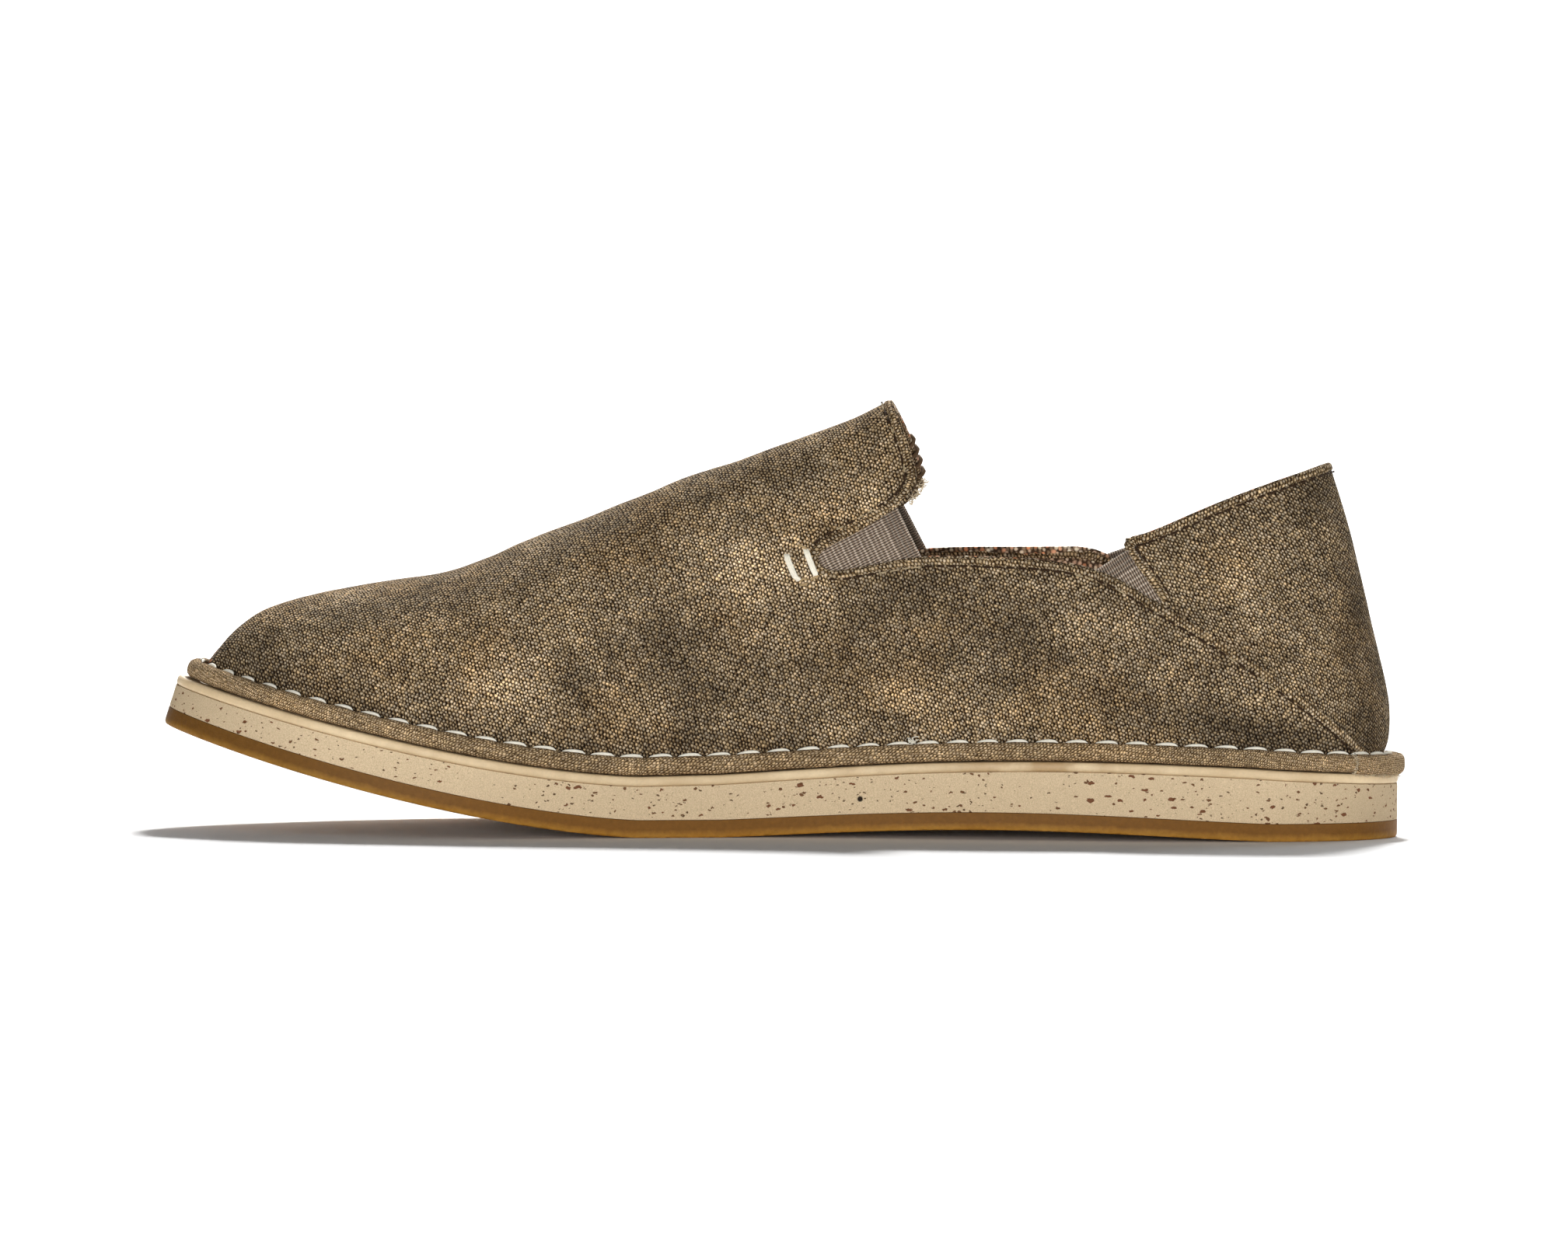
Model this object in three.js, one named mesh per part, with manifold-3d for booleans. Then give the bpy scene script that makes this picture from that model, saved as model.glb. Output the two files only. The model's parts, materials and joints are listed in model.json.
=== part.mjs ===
// A slip-on canvas shoe for a right foot, in millimetres.
// -X is the toe, +X the heel, -Y the inner (medial) side, +Z up. It stands on z = 0.
import * as THREE from "three";
import { mergeVertices } from "three/addons/utils/BufferGeometryUtils.js";
import Module from "manifold-3d";

// Sole sizes
const soleLength = 304; // along the floor, from the back of the heel to the tip of the toe
const ballWidth = 106; // the outsole at its widest
const soleThickness = 17.5; // the whole edge where it is thickest, in front of the heel
const outsoleThickness = 4.3;
const runnerThickness = 2.3;
const toeSpring = 26; // how high the tip of the toe stands off the floor
const waistRise = 2.3; // how high the waist stands off the floor
const outsoleBevel = 0.7; // broken lower edge of the outsole

// Upper sizes
const instepHeight = 107.2; // the top of the vamp over the floor
const collarHeight = 68.7; // the top of the quarter over the floor
const heelHeight = 92; // the highest point of the heel collar over the floor
const upperWall = 2.4; // vamp and quarter, canvas and lining
const seamLap = 0.8; // how far the quarter stands proud of the heel panel
const upperMargin = 5.3; // from the edge of the sole in to the foot of the upper
const lastShift = 1.2; // how far back the upper sits on the sole
const goreThickness = 1.2;
const goreRecess = 1; // how deep the elastic lies below the canvas
const insoleThickness = 4;
const bindingWidth = 3.9;
const bindingHeight = 4.6;
const bindingMargin = 0.1; // from the edge of the sole in to the binding

const gap = 0.3; // clearance between pieces that touch

// How finely the forms are divided
const stations = 44; // sections from heel to toe
const sectionSteps = 12; // steps from the foot of the upper to its ridge
const bindingSides = 8;

// The outline of the sole. at: share of the length from the heel; the rest are shares of the ball width.
const outlineRows = [
  { at: 0, medial: 0, lateral: 0 },
  { at: 0.01, medial: 0.113, lateral: 0.113 },
  { at: 0.03, medial: 0.196, lateral: 0.196 },
  { at: 0.06, medial: 0.26, lateral: 0.264 },
  { at: 0.1, medial: 0.303, lateral: 0.314 },
  { at: 0.16, medial: 0.33, lateral: 0.349 },
  { at: 0.22, medial: 0.335, lateral: 0.368 },
  { at: 0.3, medial: 0.321, lateral: 0.387 },
  { at: 0.38, medial: 0.303, lateral: 0.408 },
  { at: 0.45, medial: 0.297, lateral: 0.436 },
  { at: 0.52, medial: 0.316, lateral: 0.473 },
  { at: 0.6, medial: 0.377, lateral: 0.51 },
  { at: 0.68, medial: 0.443, lateral: 0.528 },
  { at: 0.74, medial: 0.472, lateral: 0.517 },
  { at: 0.8, medial: 0.467, lateral: 0.472 },
  { at: 0.86, medial: 0.431, lateral: 0.396 },
  { at: 0.91, medial: 0.37, lateral: 0.307 },
  { at: 0.95, medial: 0.296, lateral: 0.212 },
  { at: 0.98, medial: 0.215, lateral: 0.108 },
  { at: 0.995, medial: 0.149, lateral: 0.014 },
  { at: 1, medial: 0.078, lateral: -0.078 },
];

// The edge of the sole. at: share of the length from the heel; thick: share of the sole's thickness.
const thicknessRows = [
  { at: 0, thick: 0.89 },
  { at: 0.06, thick: 0.95 },
  { at: 0.13, thick: 1 },
  { at: 0.36, thick: 0.935 },
  { at: 0.5, thick: 0.885 },
  { at: 0.6, thick: 0.85 },
  { at: 0.82, thick: 0.78 },
  { at: 1, thick: 0.71 },
];

// The line of the upper's ridge. back: share of the length behind the upper's toe;
// height: share of the vamp's height over the sole. Behind the vamp it is a form that the collar is cut from.
const ridgeRows = [
  { back: 0, height: 0 },
  { back: 0.0023, height: 0.045 },
  { back: 0.0105, height: 0.104 },
  { back: 0.026, height: 0.178 },
  { back: 0.045, height: 0.24 },
  { back: 0.083, height: 0.314 },
  { back: 0.12, height: 0.369 },
  { back: 0.158, height: 0.42 },
  { back: 0.196, height: 0.472 },
  { back: 0.226, height: 0.529 },
  { back: 0.252, height: 0.587 },
  { back: 0.29, height: 0.656 },
  { back: 0.364, height: 0.779 },
  { back: 0.44, height: 0.864 },
  { back: 0.515, height: 0.941 },
  { back: 0.558, height: 1 },
  { back: 0.65, height: 1.1 },
  { back: 0.75, height: 1.14 },
  { back: 0.86, height: 1.14 },
];

// The upper's sections. at: share of the length from the heel. spread and rise: how square the section is
// across and upwards. bulge, in share of the binding's height: how far the wall swells over its foot.
// lean: how far the wall falls inwards for each millimetre of height. ridge: share of the ball width.
const sectionRows = [
  { at: 0, spread: 3.4, rise: 3.2, bulge: 0.72, lean: 0.222, ridge: 0.012 },
  { at: 0.2, spread: 3, rise: 2.9, bulge: 0.4, lean: 0.19, ridge: 0.012 },
  { at: 0.33, spread: 2.5, rise: 2.2, bulge: 0.36, lean: 0.12, ridge: 0.012 },
  { at: 0.45, spread: 2.1, rise: 1.75, bulge: 0.34, lean: 0, ridge: 0.01 },
  { at: 0.6, spread: 2.2, rise: 1.85, bulge: 0.3, lean: 0, ridge: -0.01 },
  { at: 0.75, spread: 2.3, rise: 2, bulge: 0.22, lean: 0, ridge: -0.03 },
  { at: 0.9, spread: 2.4, rise: 2.1, bulge: 0.08, lean: 0, ridge: -0.06 },
  { at: 1, spread: 2.4, rise: 2.1, bulge: 0, lean: 0, ridge: -0.078 },
];
const bulgeReach = 5; // the height over the foot of the upper in which most of the bulge comes
const leanStart = 17; // the height over the foot of the upper where the wall begins to lean
const middlePlane = 0.6; // where the medial and the lateral outlines of a cut meet
const footClear = 0.4; // a cutting form's lowest corner, over the foot of the upper
const heelPole = 0.112; // where the heel's sections meet above the collar, share of the length
const poleEase = 6; // how softly the sections' tops stop at the pole
const poleSetback = 1.5;
const toeEase = 20; // the height, and the length, in which the toe's sections close to a point
const leanEase = 4; // how softly the wall begins to lean
const formDrop = 6; // how far a cutting form reaches below the foot of the upper
const cutMargin = 5; // how far a cutting outline reaches past the upper

// The edges cut in the upper, seen from the side. at: share of the length from the heel.
// The throat, from the peak of the vamp down to its notch: heights in shares of the way from the collar
// height up to the instep height.
const throatRows = [
  { at: 0.417, height: 1.0334 },
  { at: 0.412, height: 0.9805 },
  { at: 0.4, height: 0.7717 },
  { at: 0.3905, height: 0.5489 },
  { at: 0.3905, height: 0.4626 },
  { at: 0.395, height: 0.393 },
  { at: 0.404, height: 0.3178 },
  { at: 0.4415, height: 0.1368 },
  { at: 0.466, height: 0.0366 },
  { at: 0.4695, height: -0.0219 },
];

// The top of the quarter, and then its lap seam down the heel panel: shares of the collar height.
const quarterRows = [
  { at: 0.466, medial: 0.961, lateral: 0.961 },
  { at: 0.458, medial: 0.946, lateral: 0.948 },
  { at: 0.445, medial: 0.951, lateral: 0.958 },
  { at: 0.42, medial: 0.972, lateral: 0.983 },
  { at: 0.389, medial: 0.995, lateral: 1.006 },
  { at: 0.352, medial: 1, lateral: 1.014 },
  { at: 0.314, medial: 0.996, lateral: 1.016 },
  { at: 0.283, medial: 0.988, lateral: 1.018 },
  { at: 0.258, medial: 0.972, lateral: 1.018 },
  { at: 0.239, medial: 0.949, lateral: 0.995 },
  { at: 0.22, medial: 0.911, lateral: 0.937 },
  { at: 0.196, medial: 0.846, lateral: 0.86 },
  { at: 0.165, medial: 0.768, lateral: 0.77 },
  { at: 0.1258, medial: 0.662, lateral: 0.662 },
  { at: 0.0888, medial: 0.546, lateral: 0.546 },
  { at: 0.0578, medial: 0.442, lateral: 0.442 },
  { at: 0.0318, medial: 0.34, lateral: 0.34 },
];
const lapShare = 0.258; // where the top edge turns into the lap seam, share of the length from the heel
const rearNotch = { at: 0.19, height: 0.838 }; // where the quarter crosses the heel panel's front edge

// The heel panel's front edge and its collar: heights in shares of the way from the rear notch up to the
// heel height.
const heelFrontRows = [
  { at: 0.19, medial: 0, lateral: 0 },
  { at: 0.196, medial: 0.0888, lateral: 0.0888 },
  { at: 0.208, medial: 0.2331, lateral: 0.2251 },
  { at: 0.2195, medial: 0.3614, lateral: 0.3453 },
  { at: 0.222, medial: 0.4255, lateral: 0.4041 },
];
const heelCollarRows = [
  { at: 0.222, medial: 0.4255, lateral: 0.4041 },
  { at: 0.218, medial: 0.4656, lateral: 0.4389 },
  { at: 0.208, medial: 0.4843, lateral: 0.4549 },
  { at: 0.19, medial: 0.5457, lateral: 0.511 },
  { at: 0.153, medial: 0.69, lateral: 0.6553 },
  { at: 0.1148, medial: 0.8236, lateral: 0.7969 },
  { at: 0.0781, medial: 0.9385, lateral: 0.9279 },
  { at: 0.0573, medial: 1, lateral: 1 },
];

const collarSlope = 0.37; // how steeply the heel collar goes on past its last row

// The free edges of the elastic, seen from the side. The front gore's runs down from the vamp, with heights
// as the throat's. The rear gore's runs back to the heel panel, with heights in shares of the collar height.
const goreShare = 0.3178; // how high in the throat the front gore begins, share of the way up as above
const frontGoreFreeEdge = [
  { at: 0.406, height: 0.3178 },
  { at: 0.398, height: 0.2621 },
  { at: 0.388, height: 0.1591 },
  { at: 0.3795, height: 0.0533 },
];
const rearGoreFreeEdge = [
  { at: 0.253, medial: 0.978, lateral: 1.012 },
  { at: 0.239, medial: 1.001, lateral: 1.034 },
  { at: 0.2235, medial: 1.026, lateral: 1.05 },
];

// Interpolates one column of a table. key maps the column that orders the rows to the run of the curve.
function column(rows, order, name, value, key = (x) => x) {
  const xs = rows.map((row) => key(row[order]));
  const ys = rows.map((row) => row[name]);
  const x = Math.min(Math.max(key(value), xs[0]), xs[xs.length - 1]);
  let i = 0;
  while (i < xs.length - 2 && x > xs[i + 1]) i++;
  const slopeAt = (k) => {
    const before = Math.max(k - 1, 0);
    const after = Math.min(k + 1, xs.length - 1);
    return (ys[after] - ys[before]) / (xs[after] - xs[before]);
  };
  const run = xs[i + 1] - xs[i];
  const t = (x - xs[i]) / run;
  const start = ys[i] * (1 + 2 * t) * (1 - t) ** 2 + slopeAt(i) * run * t * (1 - t) ** 2;
  const end = ys[i + 1] * t * t * (3 - 2 * t) - slopeAt(i + 1) * run * t * t * (1 - t);
  return start + end;
}

const heelX = soleLength / 2;
const xAt = (share) => heelX - share * soleLength;
const shareAt = (x) => (heelX - x) / soleLength;
const turnAt = (share) => Math.acos(1 - 2 * Math.min(Math.max(share, 0), 1));

// The floor side of the sole at x: flat under the heel and the forefoot, raised in the waist and at the toe.
// These places are shares of the length from the heel.
const heelFlatShare = 0.1;
const forefootFlatShare = 0.543;
const toeBreakShare = 0.605;
const springPower = 1.45;
const waistPower = 1.2;
function undersideZ(x) {
  const at = shareAt(x);
  if (at > toeBreakShare) return toeSpring * ((at - toeBreakShare) / (1 - toeBreakShare)) ** springPower;
  if (at <= heelFlatShare || at >= forefootFlatShare) return 0;
  const t = (at - heelFlatShare) / (forefootFlatShare - heelFlatShare);
  return waistRise * Math.sin(Math.PI * t) ** waistPower;
}

const thicknessAt = (x) => soleThickness * column(thicknessRows, "at", "thick", shareAt(x));

// A point at height h over the underside, square to it.
function onSole(x, y, h) {
  const step = soleLength / 600;
  const slope = (undersideZ(x + step) - undersideZ(x - step)) / (2 * step);
  const norm = Math.hypot(1, slope);
  return new THREE.Vector3(x - (h * slope) / norm, y, undersideZ(x) + h / norm);
}

// The outline at a turn from 0 at the heel to PI at the toe, positive on the lateral side.
function outlinePoint(turn) {
  const at = (1 - Math.cos(turn)) / 2;
  const side = turn < 0 ? "medial" : "lateral";
  const width = column(outlineRows, "at", side, at, turnAt) * ballWidth;
  return new THREE.Vector2(xAt(at), turn < 0 ? -width : width);
}

// The outward direction of the outline in plan.
function outlineNormal(turn) {
  const step = 0.01;
  const flip = (t) => (t > Math.PI ? t - 2 * Math.PI : t < -Math.PI ? t + 2 * Math.PI : t);
  const a = outlinePoint(flip(turn - step));
  const b = outlinePoint(flip(turn + step));
  return new THREE.Vector2(b.y - a.y, a.x - b.x).normalize();
}

function insetPoint(turn, inset) {
  return outlinePoint(turn).addScaledVector(outlineNormal(turn), -inset);
}

// A point on top of the sole, at height over it, where the upper and what goes with it stand.
function onTop(turn, inset, height) {
  const p = insetPoint(turn, inset);
  const x = p.x + lastShift;
  return onSole(x, p.y, thicknessAt(x) + gap + height);
}

// A closed solid through rings of points. Neighbouring rings are joined, and an end ring has no area.
function loft(rings, closed = false) {
  const size = rings[0].length;
  const positions = rings.flat().flatMap((p) => [p.x, p.y, p.z]);
  const index = [];
  const last = closed ? rings.length : rings.length - 1;
  for (let i = 0; i < last; i++) {
    const next = (i + 1) % rings.length;
    for (let j = 0; j < size; j++) {
      const k = (j + 1) % size;
      const [a, b, c, d] = [i * size + j, i * size + k, next * size + k, next * size + j];
      index.push(a, b, c, a, c, d);
    }
  }
  const geometry = new THREE.BufferGeometry();
  geometry.setAttribute("position", new THREE.Float32BufferAttribute(positions, 3));
  geometry.setIndex(index);
  return geometry;
}

const wasm = await Module();
wasm.setup();

// A manifold solid of a closed geometry, with doubled points merged and faces turned outwards.
function solidOf(geometry) {
  const bare = new THREE.BufferGeometry();
  bare.setAttribute("position", geometry.getAttribute("position"));
  bare.setIndex(geometry.index);
  const merged = mergeVertices(bare, 1e-3);
  const corners = merged.getAttribute("position");
  const at = (i) => new THREE.Vector3().fromBufferAttribute(corners, i);
  const kept = [];
  let volume = 0;
  for (let i = 0; i < merged.index.count; i += 3) {
    const [a, b, c] = [0, 1, 2].map((k) => merged.index.getX(i + k));
    if (a === b || b === c || c === a) continue;
    kept.push([a, b, c]);
    volume += at(a).dot(at(b).cross(at(c)));
  }
  const turned = volume < 0 ? kept.map(([a, b, c]) => [a, c, b]) : kept;
  return new wasm.Manifold(
    new wasm.Mesh({ numProp: 3, vertProperties: corners.array, triVerts: new Uint32Array(turned.flat()) }),
  );
}

// A band of the sole between two heights over the underside, given as functions of x.
function soleBand({ inset = 0, shift = 0, from, to, bevel = 0 }) {
  const rings = [];
  for (let i = 0; i <= stations; i++) {
    const turn = (Math.PI * i) / stations;
    const corner = (side, margin, height) => {
      const p = insetPoint(side * turn, margin);
      return onSole(p.x + shift, p.y, height(p.x + shift));
    };
    const ring = [corner(-1, inset + bevel, from), corner(1, inset + bevel, from)];
    if (bevel > 0) ring.push(corner(1, inset, (x) => from(x) + bevel));
    ring.push(corner(1, inset, to), corner(-1, inset, to));
    if (bevel > 0) ring.push(corner(-1, inset, (x) => from(x) + bevel));
    rings.push(ring);
  }
  for (const ring of [rings[0], rings[stations]]) {
    // The medial and lateral points of an end section are one point.
    for (const [a, b] of bevel > 0 ? [[0, 1], [5, 2], [4, 3]] : [[0, 1], [3, 2]]) ring[a].copy(ring[b]);
  }
  return solidOf(loft(rings));
}

// The form of the upper, a last with its cone, made smaller by inset and let down below its foot by drop.
function lastForm(inset, drop) {
  const toeBase = onTop(Math.PI, upperMargin, 0);
  const vampHeight = instepHeight - (undersideZ(xAt(throatRows[0].at)) + thicknessAt(xAt(throatRows[0].at)));
  const rings = [];
  for (let i = 0; i <= stations; i++) {
    const turn = (Math.PI * i) / stations;
    const outer = [-turn, turn].map((t) => onTop(t, upperMargin, 0));
    const middle = outer[0].clone().add(outer[1]).multiplyScalar(0.5);
    const pole = xAt(heelPole);
    const ridgeX = (middle.x + pole - Math.hypot(middle.x - pole, poleEase)) / 2 + poleSetback;
    const share = shareAt(middle.x);
    const back = Math.max((Math.min(middle.x, ridgeX) - toeBase.x) / soleLength, 0);
    const height = vampHeight * column(ridgeRows, "back", "height", back, Math.sqrt);
    const row = (name) => column(sectionRows, "at", name, share);
    const lowered = inset * Math.min(1, height / toeEase);
    const toToe = Math.min(1, Math.max(0, (middle.x - toeBase.x) / toeEase));
    const ridge = new THREE.Vector3(
      THREE.MathUtils.lerp(middle.x, ridgeX, toToe),
      row("ridge") * ballWidth,
      middle.z + height - lowered,
    );
    const halves = [-1, 1].map((side) => {
      const base = onTop(side * turn, upperMargin + inset, 0);
      const out = outlineNormal(side * turn);
      if (i === stations) {
        const tip = base.clone().setZ(base.z + (drop > 0 ? footClear : 0));
        return Array.from({ length: sectionSteps + 1 }, () => tip.clone());
      }
      const points = [];
      for (let k = 0; k <= sectionSteps; k++) {
        const rise = Math.sin((Math.PI / 2) * (k / sectionSteps) ** 1.4);
        const up = drop > 0 ? Math.max(rise, footClear / (ridge.z - base.z)) : rise;
        const inward = k === sectionSteps ? 1 : 1 - (1 - up ** row("rise")) ** (1 / row("spread"));
        const over = up * (ridge.z - base.z);
        const leaning = (Math.hypot(over - leanStart, leanEase) + over - leanStart) / 2;
        const swell = row("bulge") * bindingHeight * (1 - Math.exp(-((over / bulgeReach) ** 2)));
        const shift = (swell - row("lean") * leaning) * (1 - inward);
        points.push(new THREE.Vector3(
          THREE.MathUtils.lerp(base.x, ridge.x, inward) + out.x * shift,
          THREE.MathUtils.lerp(base.y, ridge.y, inward) + out.y * shift,
          base.z + over,
        ));
      }
      return points;
    });
    if (i === 0) halves[0] = halves[1].map((p) => p.clone());
    const ring = [...halves[0], ...halves[1].slice(0, -1).reverse()];
    if (drop > 0) {
      ring.unshift(halves[0][0].clone().setZ(halves[0][0].z - drop));
      ring.push(halves[1][0].clone().setZ(halves[1][0].z - drop));
    }
    rings.push(ring);
  }
  return solidOf(loft(rings));
}

// A block with a side-view outline, reaching out from the middle on the medial (-1) or lateral (1) side.
function sideBlock(points, side) {
  const shape = new THREE.Shape(points.map((p) => new THREE.Vector2(p.x, p.z)));
  const geometry = new THREE.ExtrudeGeometry(shape, { depth: ballWidth, bevelEnabled: false });
  geometry.rotateX(Math.PI / 2);
  geometry.translate(0, side < 0 ? middlePlane : middlePlane + ballWidth, 0);
  return solidOf(geometry);
}

// A height between two others, by its share of the way.
const between = (low, high, share) => low + share * (high - low);
const throatZ = (share) => between(collarHeight, instepHeight, share);
const throatLine = throatRows.map((row) => ({ x: xAt(row.at), z: throatZ(row.height) }));
const quarterLine = (side) =>
  quarterRows.map((row) => ({ x: xAt(row.at), z: row[side] * collarHeight }));
const notch = { x: xAt(rearNotch.at), z: rearNotch.height * collarHeight };
const heelEdge = (rows, side) =>
  rows.map((row) => ({ x: xAt(row.at), z: between(notch.z, heelHeight, row[side]) }));
const overAll = 1.4 * Math.max(instepHeight, heelHeight); // higher than any form that is cut

// A smooth line through a few points, seen from the side.
function smooth(points, steps) {
  const curve = new THREE.SplineCurve(points.map((p) => new THREE.Vector2(p.x, p.z)));
  return curve.getPoints(steps).map((p) => ({ x: p.x, z: p.y }));
}

// What is cut away over the throat and the collar, on one side.
function openingOutline(side) {
  const quarter = quarterLine(side).filter((p) => p.x < notch.x);
  const last = heelEdge(heelCollarRows, side).pop();
  return [
    { x: throatLine[0].x - upperWall, z: overAll },
    ...smooth(throatLine, 22),
    ...smooth([...quarter, notch], 24),
    ...smooth(heelEdge(heelFrontRows, side), 6).slice(1),
    ...smooth(heelEdge(heelCollarRows, side), 12).slice(1),
    { x: heelX + cutMargin, z: last.z + (heelX + cutMargin - last.x) * collarSlope },
    { x: heelX + cutMargin, z: overAll },
  ];
}

// What lies behind the lap seam, where the wall steps in to the heel panel.
function behindSeamOutline(side) {
  const line = smooth(quarterLine(side), 30).filter((p) => p.x > xAt(lapShare));
  return [
    ...line,
    { x: heelX + cutMargin, z: line[line.length - 1].z - cutMargin / 2 },
    { x: heelX + cutMargin, z: overAll },
    { x: line[0].x, z: overAll },
  ];
}

function makeUpper() {
  const inside = lastForm(upperWall, formDrop);
  const heelPanel = lastForm(seamLap, formDrop);
  let upper = lastForm(0, 0);
  for (const [side, sign] of [["medial", -1], ["lateral", 1]]) {
    const behind = sideBlock(behindSeamOutline(side), sign);
    upper = upper.subtract(behind.subtract(heelPanel));
  }
  upper = upper.subtract(inside);
  for (const [side, sign] of [["medial", -1], ["lateral", 1]]) {
    upper = upper.subtract(sideBlock(openingOutline(side), sign));
  }
  return upper;
}

// One elastic gore: a piece of a thinner wall inside the canvas's, within a side-view outline.
function makeGore(outline, sign) {
  const shell = lastForm(goreRecess, 0).subtract(lastForm(goreRecess + goreThickness, formDrop));
  return shell.intersect(sideBlock(outline, sign));
}

function frontGoreOutline(side) {
  const top = smooth(throatLine, 22).filter((p) => p.z < throatZ(goreShare));
  const bottom = smooth(quarterLine(side), 30).filter((p) => p.x < xAt(frontGoreFreeEdge[3].at));
  const free = frontGoreFreeEdge.map((row) => ({ x: xAt(row.at), z: throatZ(row.height) }));
  const freeInside = free.slice(0, -1).map((p) => ({ x: p.x, z: p.z - gap }));
  return [
    ...freeInside.reverse(),
    ...top.map((p) => ({ x: p.x + gap, z: p.z - gap })),
    ...bottom.map((p) => ({ x: p.x + gap, z: p.z + gap })),
  ];
}

function rearGoreOutline(side) {
  const bottom = smooth(quarterLine(side), 30)
    .filter((p) => p.x > xAt(rearGoreFreeEdge[0].at) && p.x < notch.x - gap);
  const back = smooth(heelEdge(heelFrontRows, side), 6).slice(1, -1);
  const free = rearGoreFreeEdge.map((row) => ({ x: xAt(row.at), z: row[side] * collarHeight }));
  return [
    ...bottom.map((p) => ({ x: p.x, z: p.z + gap })),
    ...back.map((p) => ({ x: p.x - gap, z: p.z })),
    ...free.slice(1).reverse(),
  ];
}

// The canvas-covered roll round the foot of the upper, lying on the runner.
function makeBinding() {
  const rings = [];
  const around = 2 * stations;
  for (let i = 0; i < around; i++) {
    const turn = -Math.PI + (2 * Math.PI * i) / around;
    const ring = [];
    for (let k = 0; k < bindingSides; k++) {
      const phi = (2 * Math.PI * k) / bindingSides + Math.PI / bindingSides;
      const across = Math.cos(phi) / Math.cos(Math.PI / bindingSides);
      const up = Math.sin(phi) / Math.cos(Math.PI / bindingSides);
      const inset = bindingMargin + (bindingWidth / 2) * (1 - across);
      const over = (bindingHeight / 2) * (1 + up);
      ring.push(onTop(turn, inset, over));
    }
    rings.push(ring);
  }
  return solidOf(loft(rings, true));
}

const looks = {
  gum: { color: 0x85602f, roughness: 0.6 },
  foam: { color: 0xd2b892, roughness: 0.85 },
  runner: { color: 0xcdb48f, roughness: 0.6 },
  canvas: { color: 0x6f5b42, roughness: 0.9 },
  binding: { color: 0x8d7659, roughness: 0.9 },
  elastic: { color: 0x80705e, roughness: 0.9 },
  insole: { color: 0x8a7357, roughness: 0.9 },
};

const shoe = new THREE.Group();

function addPiece(name, solid, look) {
  const mesh = solid.getMesh();
  const geometry = new THREE.BufferGeometry();
  const stride = mesh.numProp;
  const positions = new Float32Array(mesh.numVert * 3);
  for (let i = 0; i < mesh.numVert; i++) {
    positions.set(mesh.vertProperties.subarray(i * stride, i * stride + 3), i * 3);
  }
  geometry.setAttribute("position", new THREE.BufferAttribute(positions, 3));
  geometry.setIndex(new THREE.BufferAttribute(mesh.triVerts, 1));
  geometry.computeVertexNormals();
  const piece = new THREE.Mesh(geometry, new THREE.MeshStandardMaterial({ ...look, metalness: 0 }));
  piece.name = name;
  shoe.add(piece);
}

const midsoleTop = (x) => thicknessAt(x) - runnerThickness;
const outsole = soleBand({ from: () => 0, to: () => outsoleThickness, bevel: outsoleBevel });
const midsole = soleBand({ from: () => outsoleThickness + gap, to: midsoleTop });
const runner = soleBand({ from: (x) => midsoleTop(x) + gap, to: thicknessAt });
const insole = soleBand({
  inset: upperMargin + upperWall + gap,
  shift: lastShift,
  from: (x) => thicknessAt(x) + gap,
  to: (x) => thicknessAt(x) + gap + insoleThickness,
});
addPiece("outsole", outsole, looks.gum);
addPiece("midsole", midsole, looks.foam);
addPiece("runner", runner, looks.runner);
addPiece("welt_binding", makeBinding(), looks.binding);
addPiece("insole", insole, looks.insole);
addPiece("upper", makeUpper(), looks.canvas);
for (const [side, sign] of [["medial", -1], ["lateral", 1]]) {
  addPiece("front_gore_" + side, makeGore(frontGoreOutline(side), sign), looks.elastic);
  addPiece("rear_gore_" + side, makeGore(rearGoreOutline(side), sign), looks.elastic);
}

// The origin is under the middle of the shoe's box.
const box = new THREE.Box3().setFromObject(shoe);
shoe.position.set(-(box.min.x + box.max.x) / 2, -(box.min.y + box.max.y) / 2, -box.min.z);

export default shoe;
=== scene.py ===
"""The slip-on shoe's looks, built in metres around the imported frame."""

import json
import math
from functools import lru_cache

import bmesh
import bpy
import numpy as np
from mathutils import Matrix, Vector, noise
from mathutils.bvhtree import BVHTree

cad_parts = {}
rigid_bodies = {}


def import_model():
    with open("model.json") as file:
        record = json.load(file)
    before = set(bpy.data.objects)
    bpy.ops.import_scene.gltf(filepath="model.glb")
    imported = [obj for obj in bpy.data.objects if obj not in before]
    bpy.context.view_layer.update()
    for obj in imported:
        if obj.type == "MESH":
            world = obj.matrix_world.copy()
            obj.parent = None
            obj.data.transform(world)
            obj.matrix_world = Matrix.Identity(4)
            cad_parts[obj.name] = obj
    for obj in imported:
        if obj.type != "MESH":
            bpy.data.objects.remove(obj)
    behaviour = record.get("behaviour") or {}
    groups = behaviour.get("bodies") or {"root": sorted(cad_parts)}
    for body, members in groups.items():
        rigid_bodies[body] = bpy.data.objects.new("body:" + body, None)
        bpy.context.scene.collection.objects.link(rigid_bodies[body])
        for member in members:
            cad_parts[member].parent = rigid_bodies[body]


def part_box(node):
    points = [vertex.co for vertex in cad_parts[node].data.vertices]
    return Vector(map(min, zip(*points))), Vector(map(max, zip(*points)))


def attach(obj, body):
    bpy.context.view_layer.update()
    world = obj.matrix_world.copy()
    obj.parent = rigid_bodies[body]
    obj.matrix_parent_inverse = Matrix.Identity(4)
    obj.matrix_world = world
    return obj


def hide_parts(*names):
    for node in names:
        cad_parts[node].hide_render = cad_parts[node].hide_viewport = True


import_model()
for left in [o for o in bpy.data.objects if o.name in ("Cube", "Camera", "Light")]:
    bpy.data.objects.remove(left)
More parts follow.
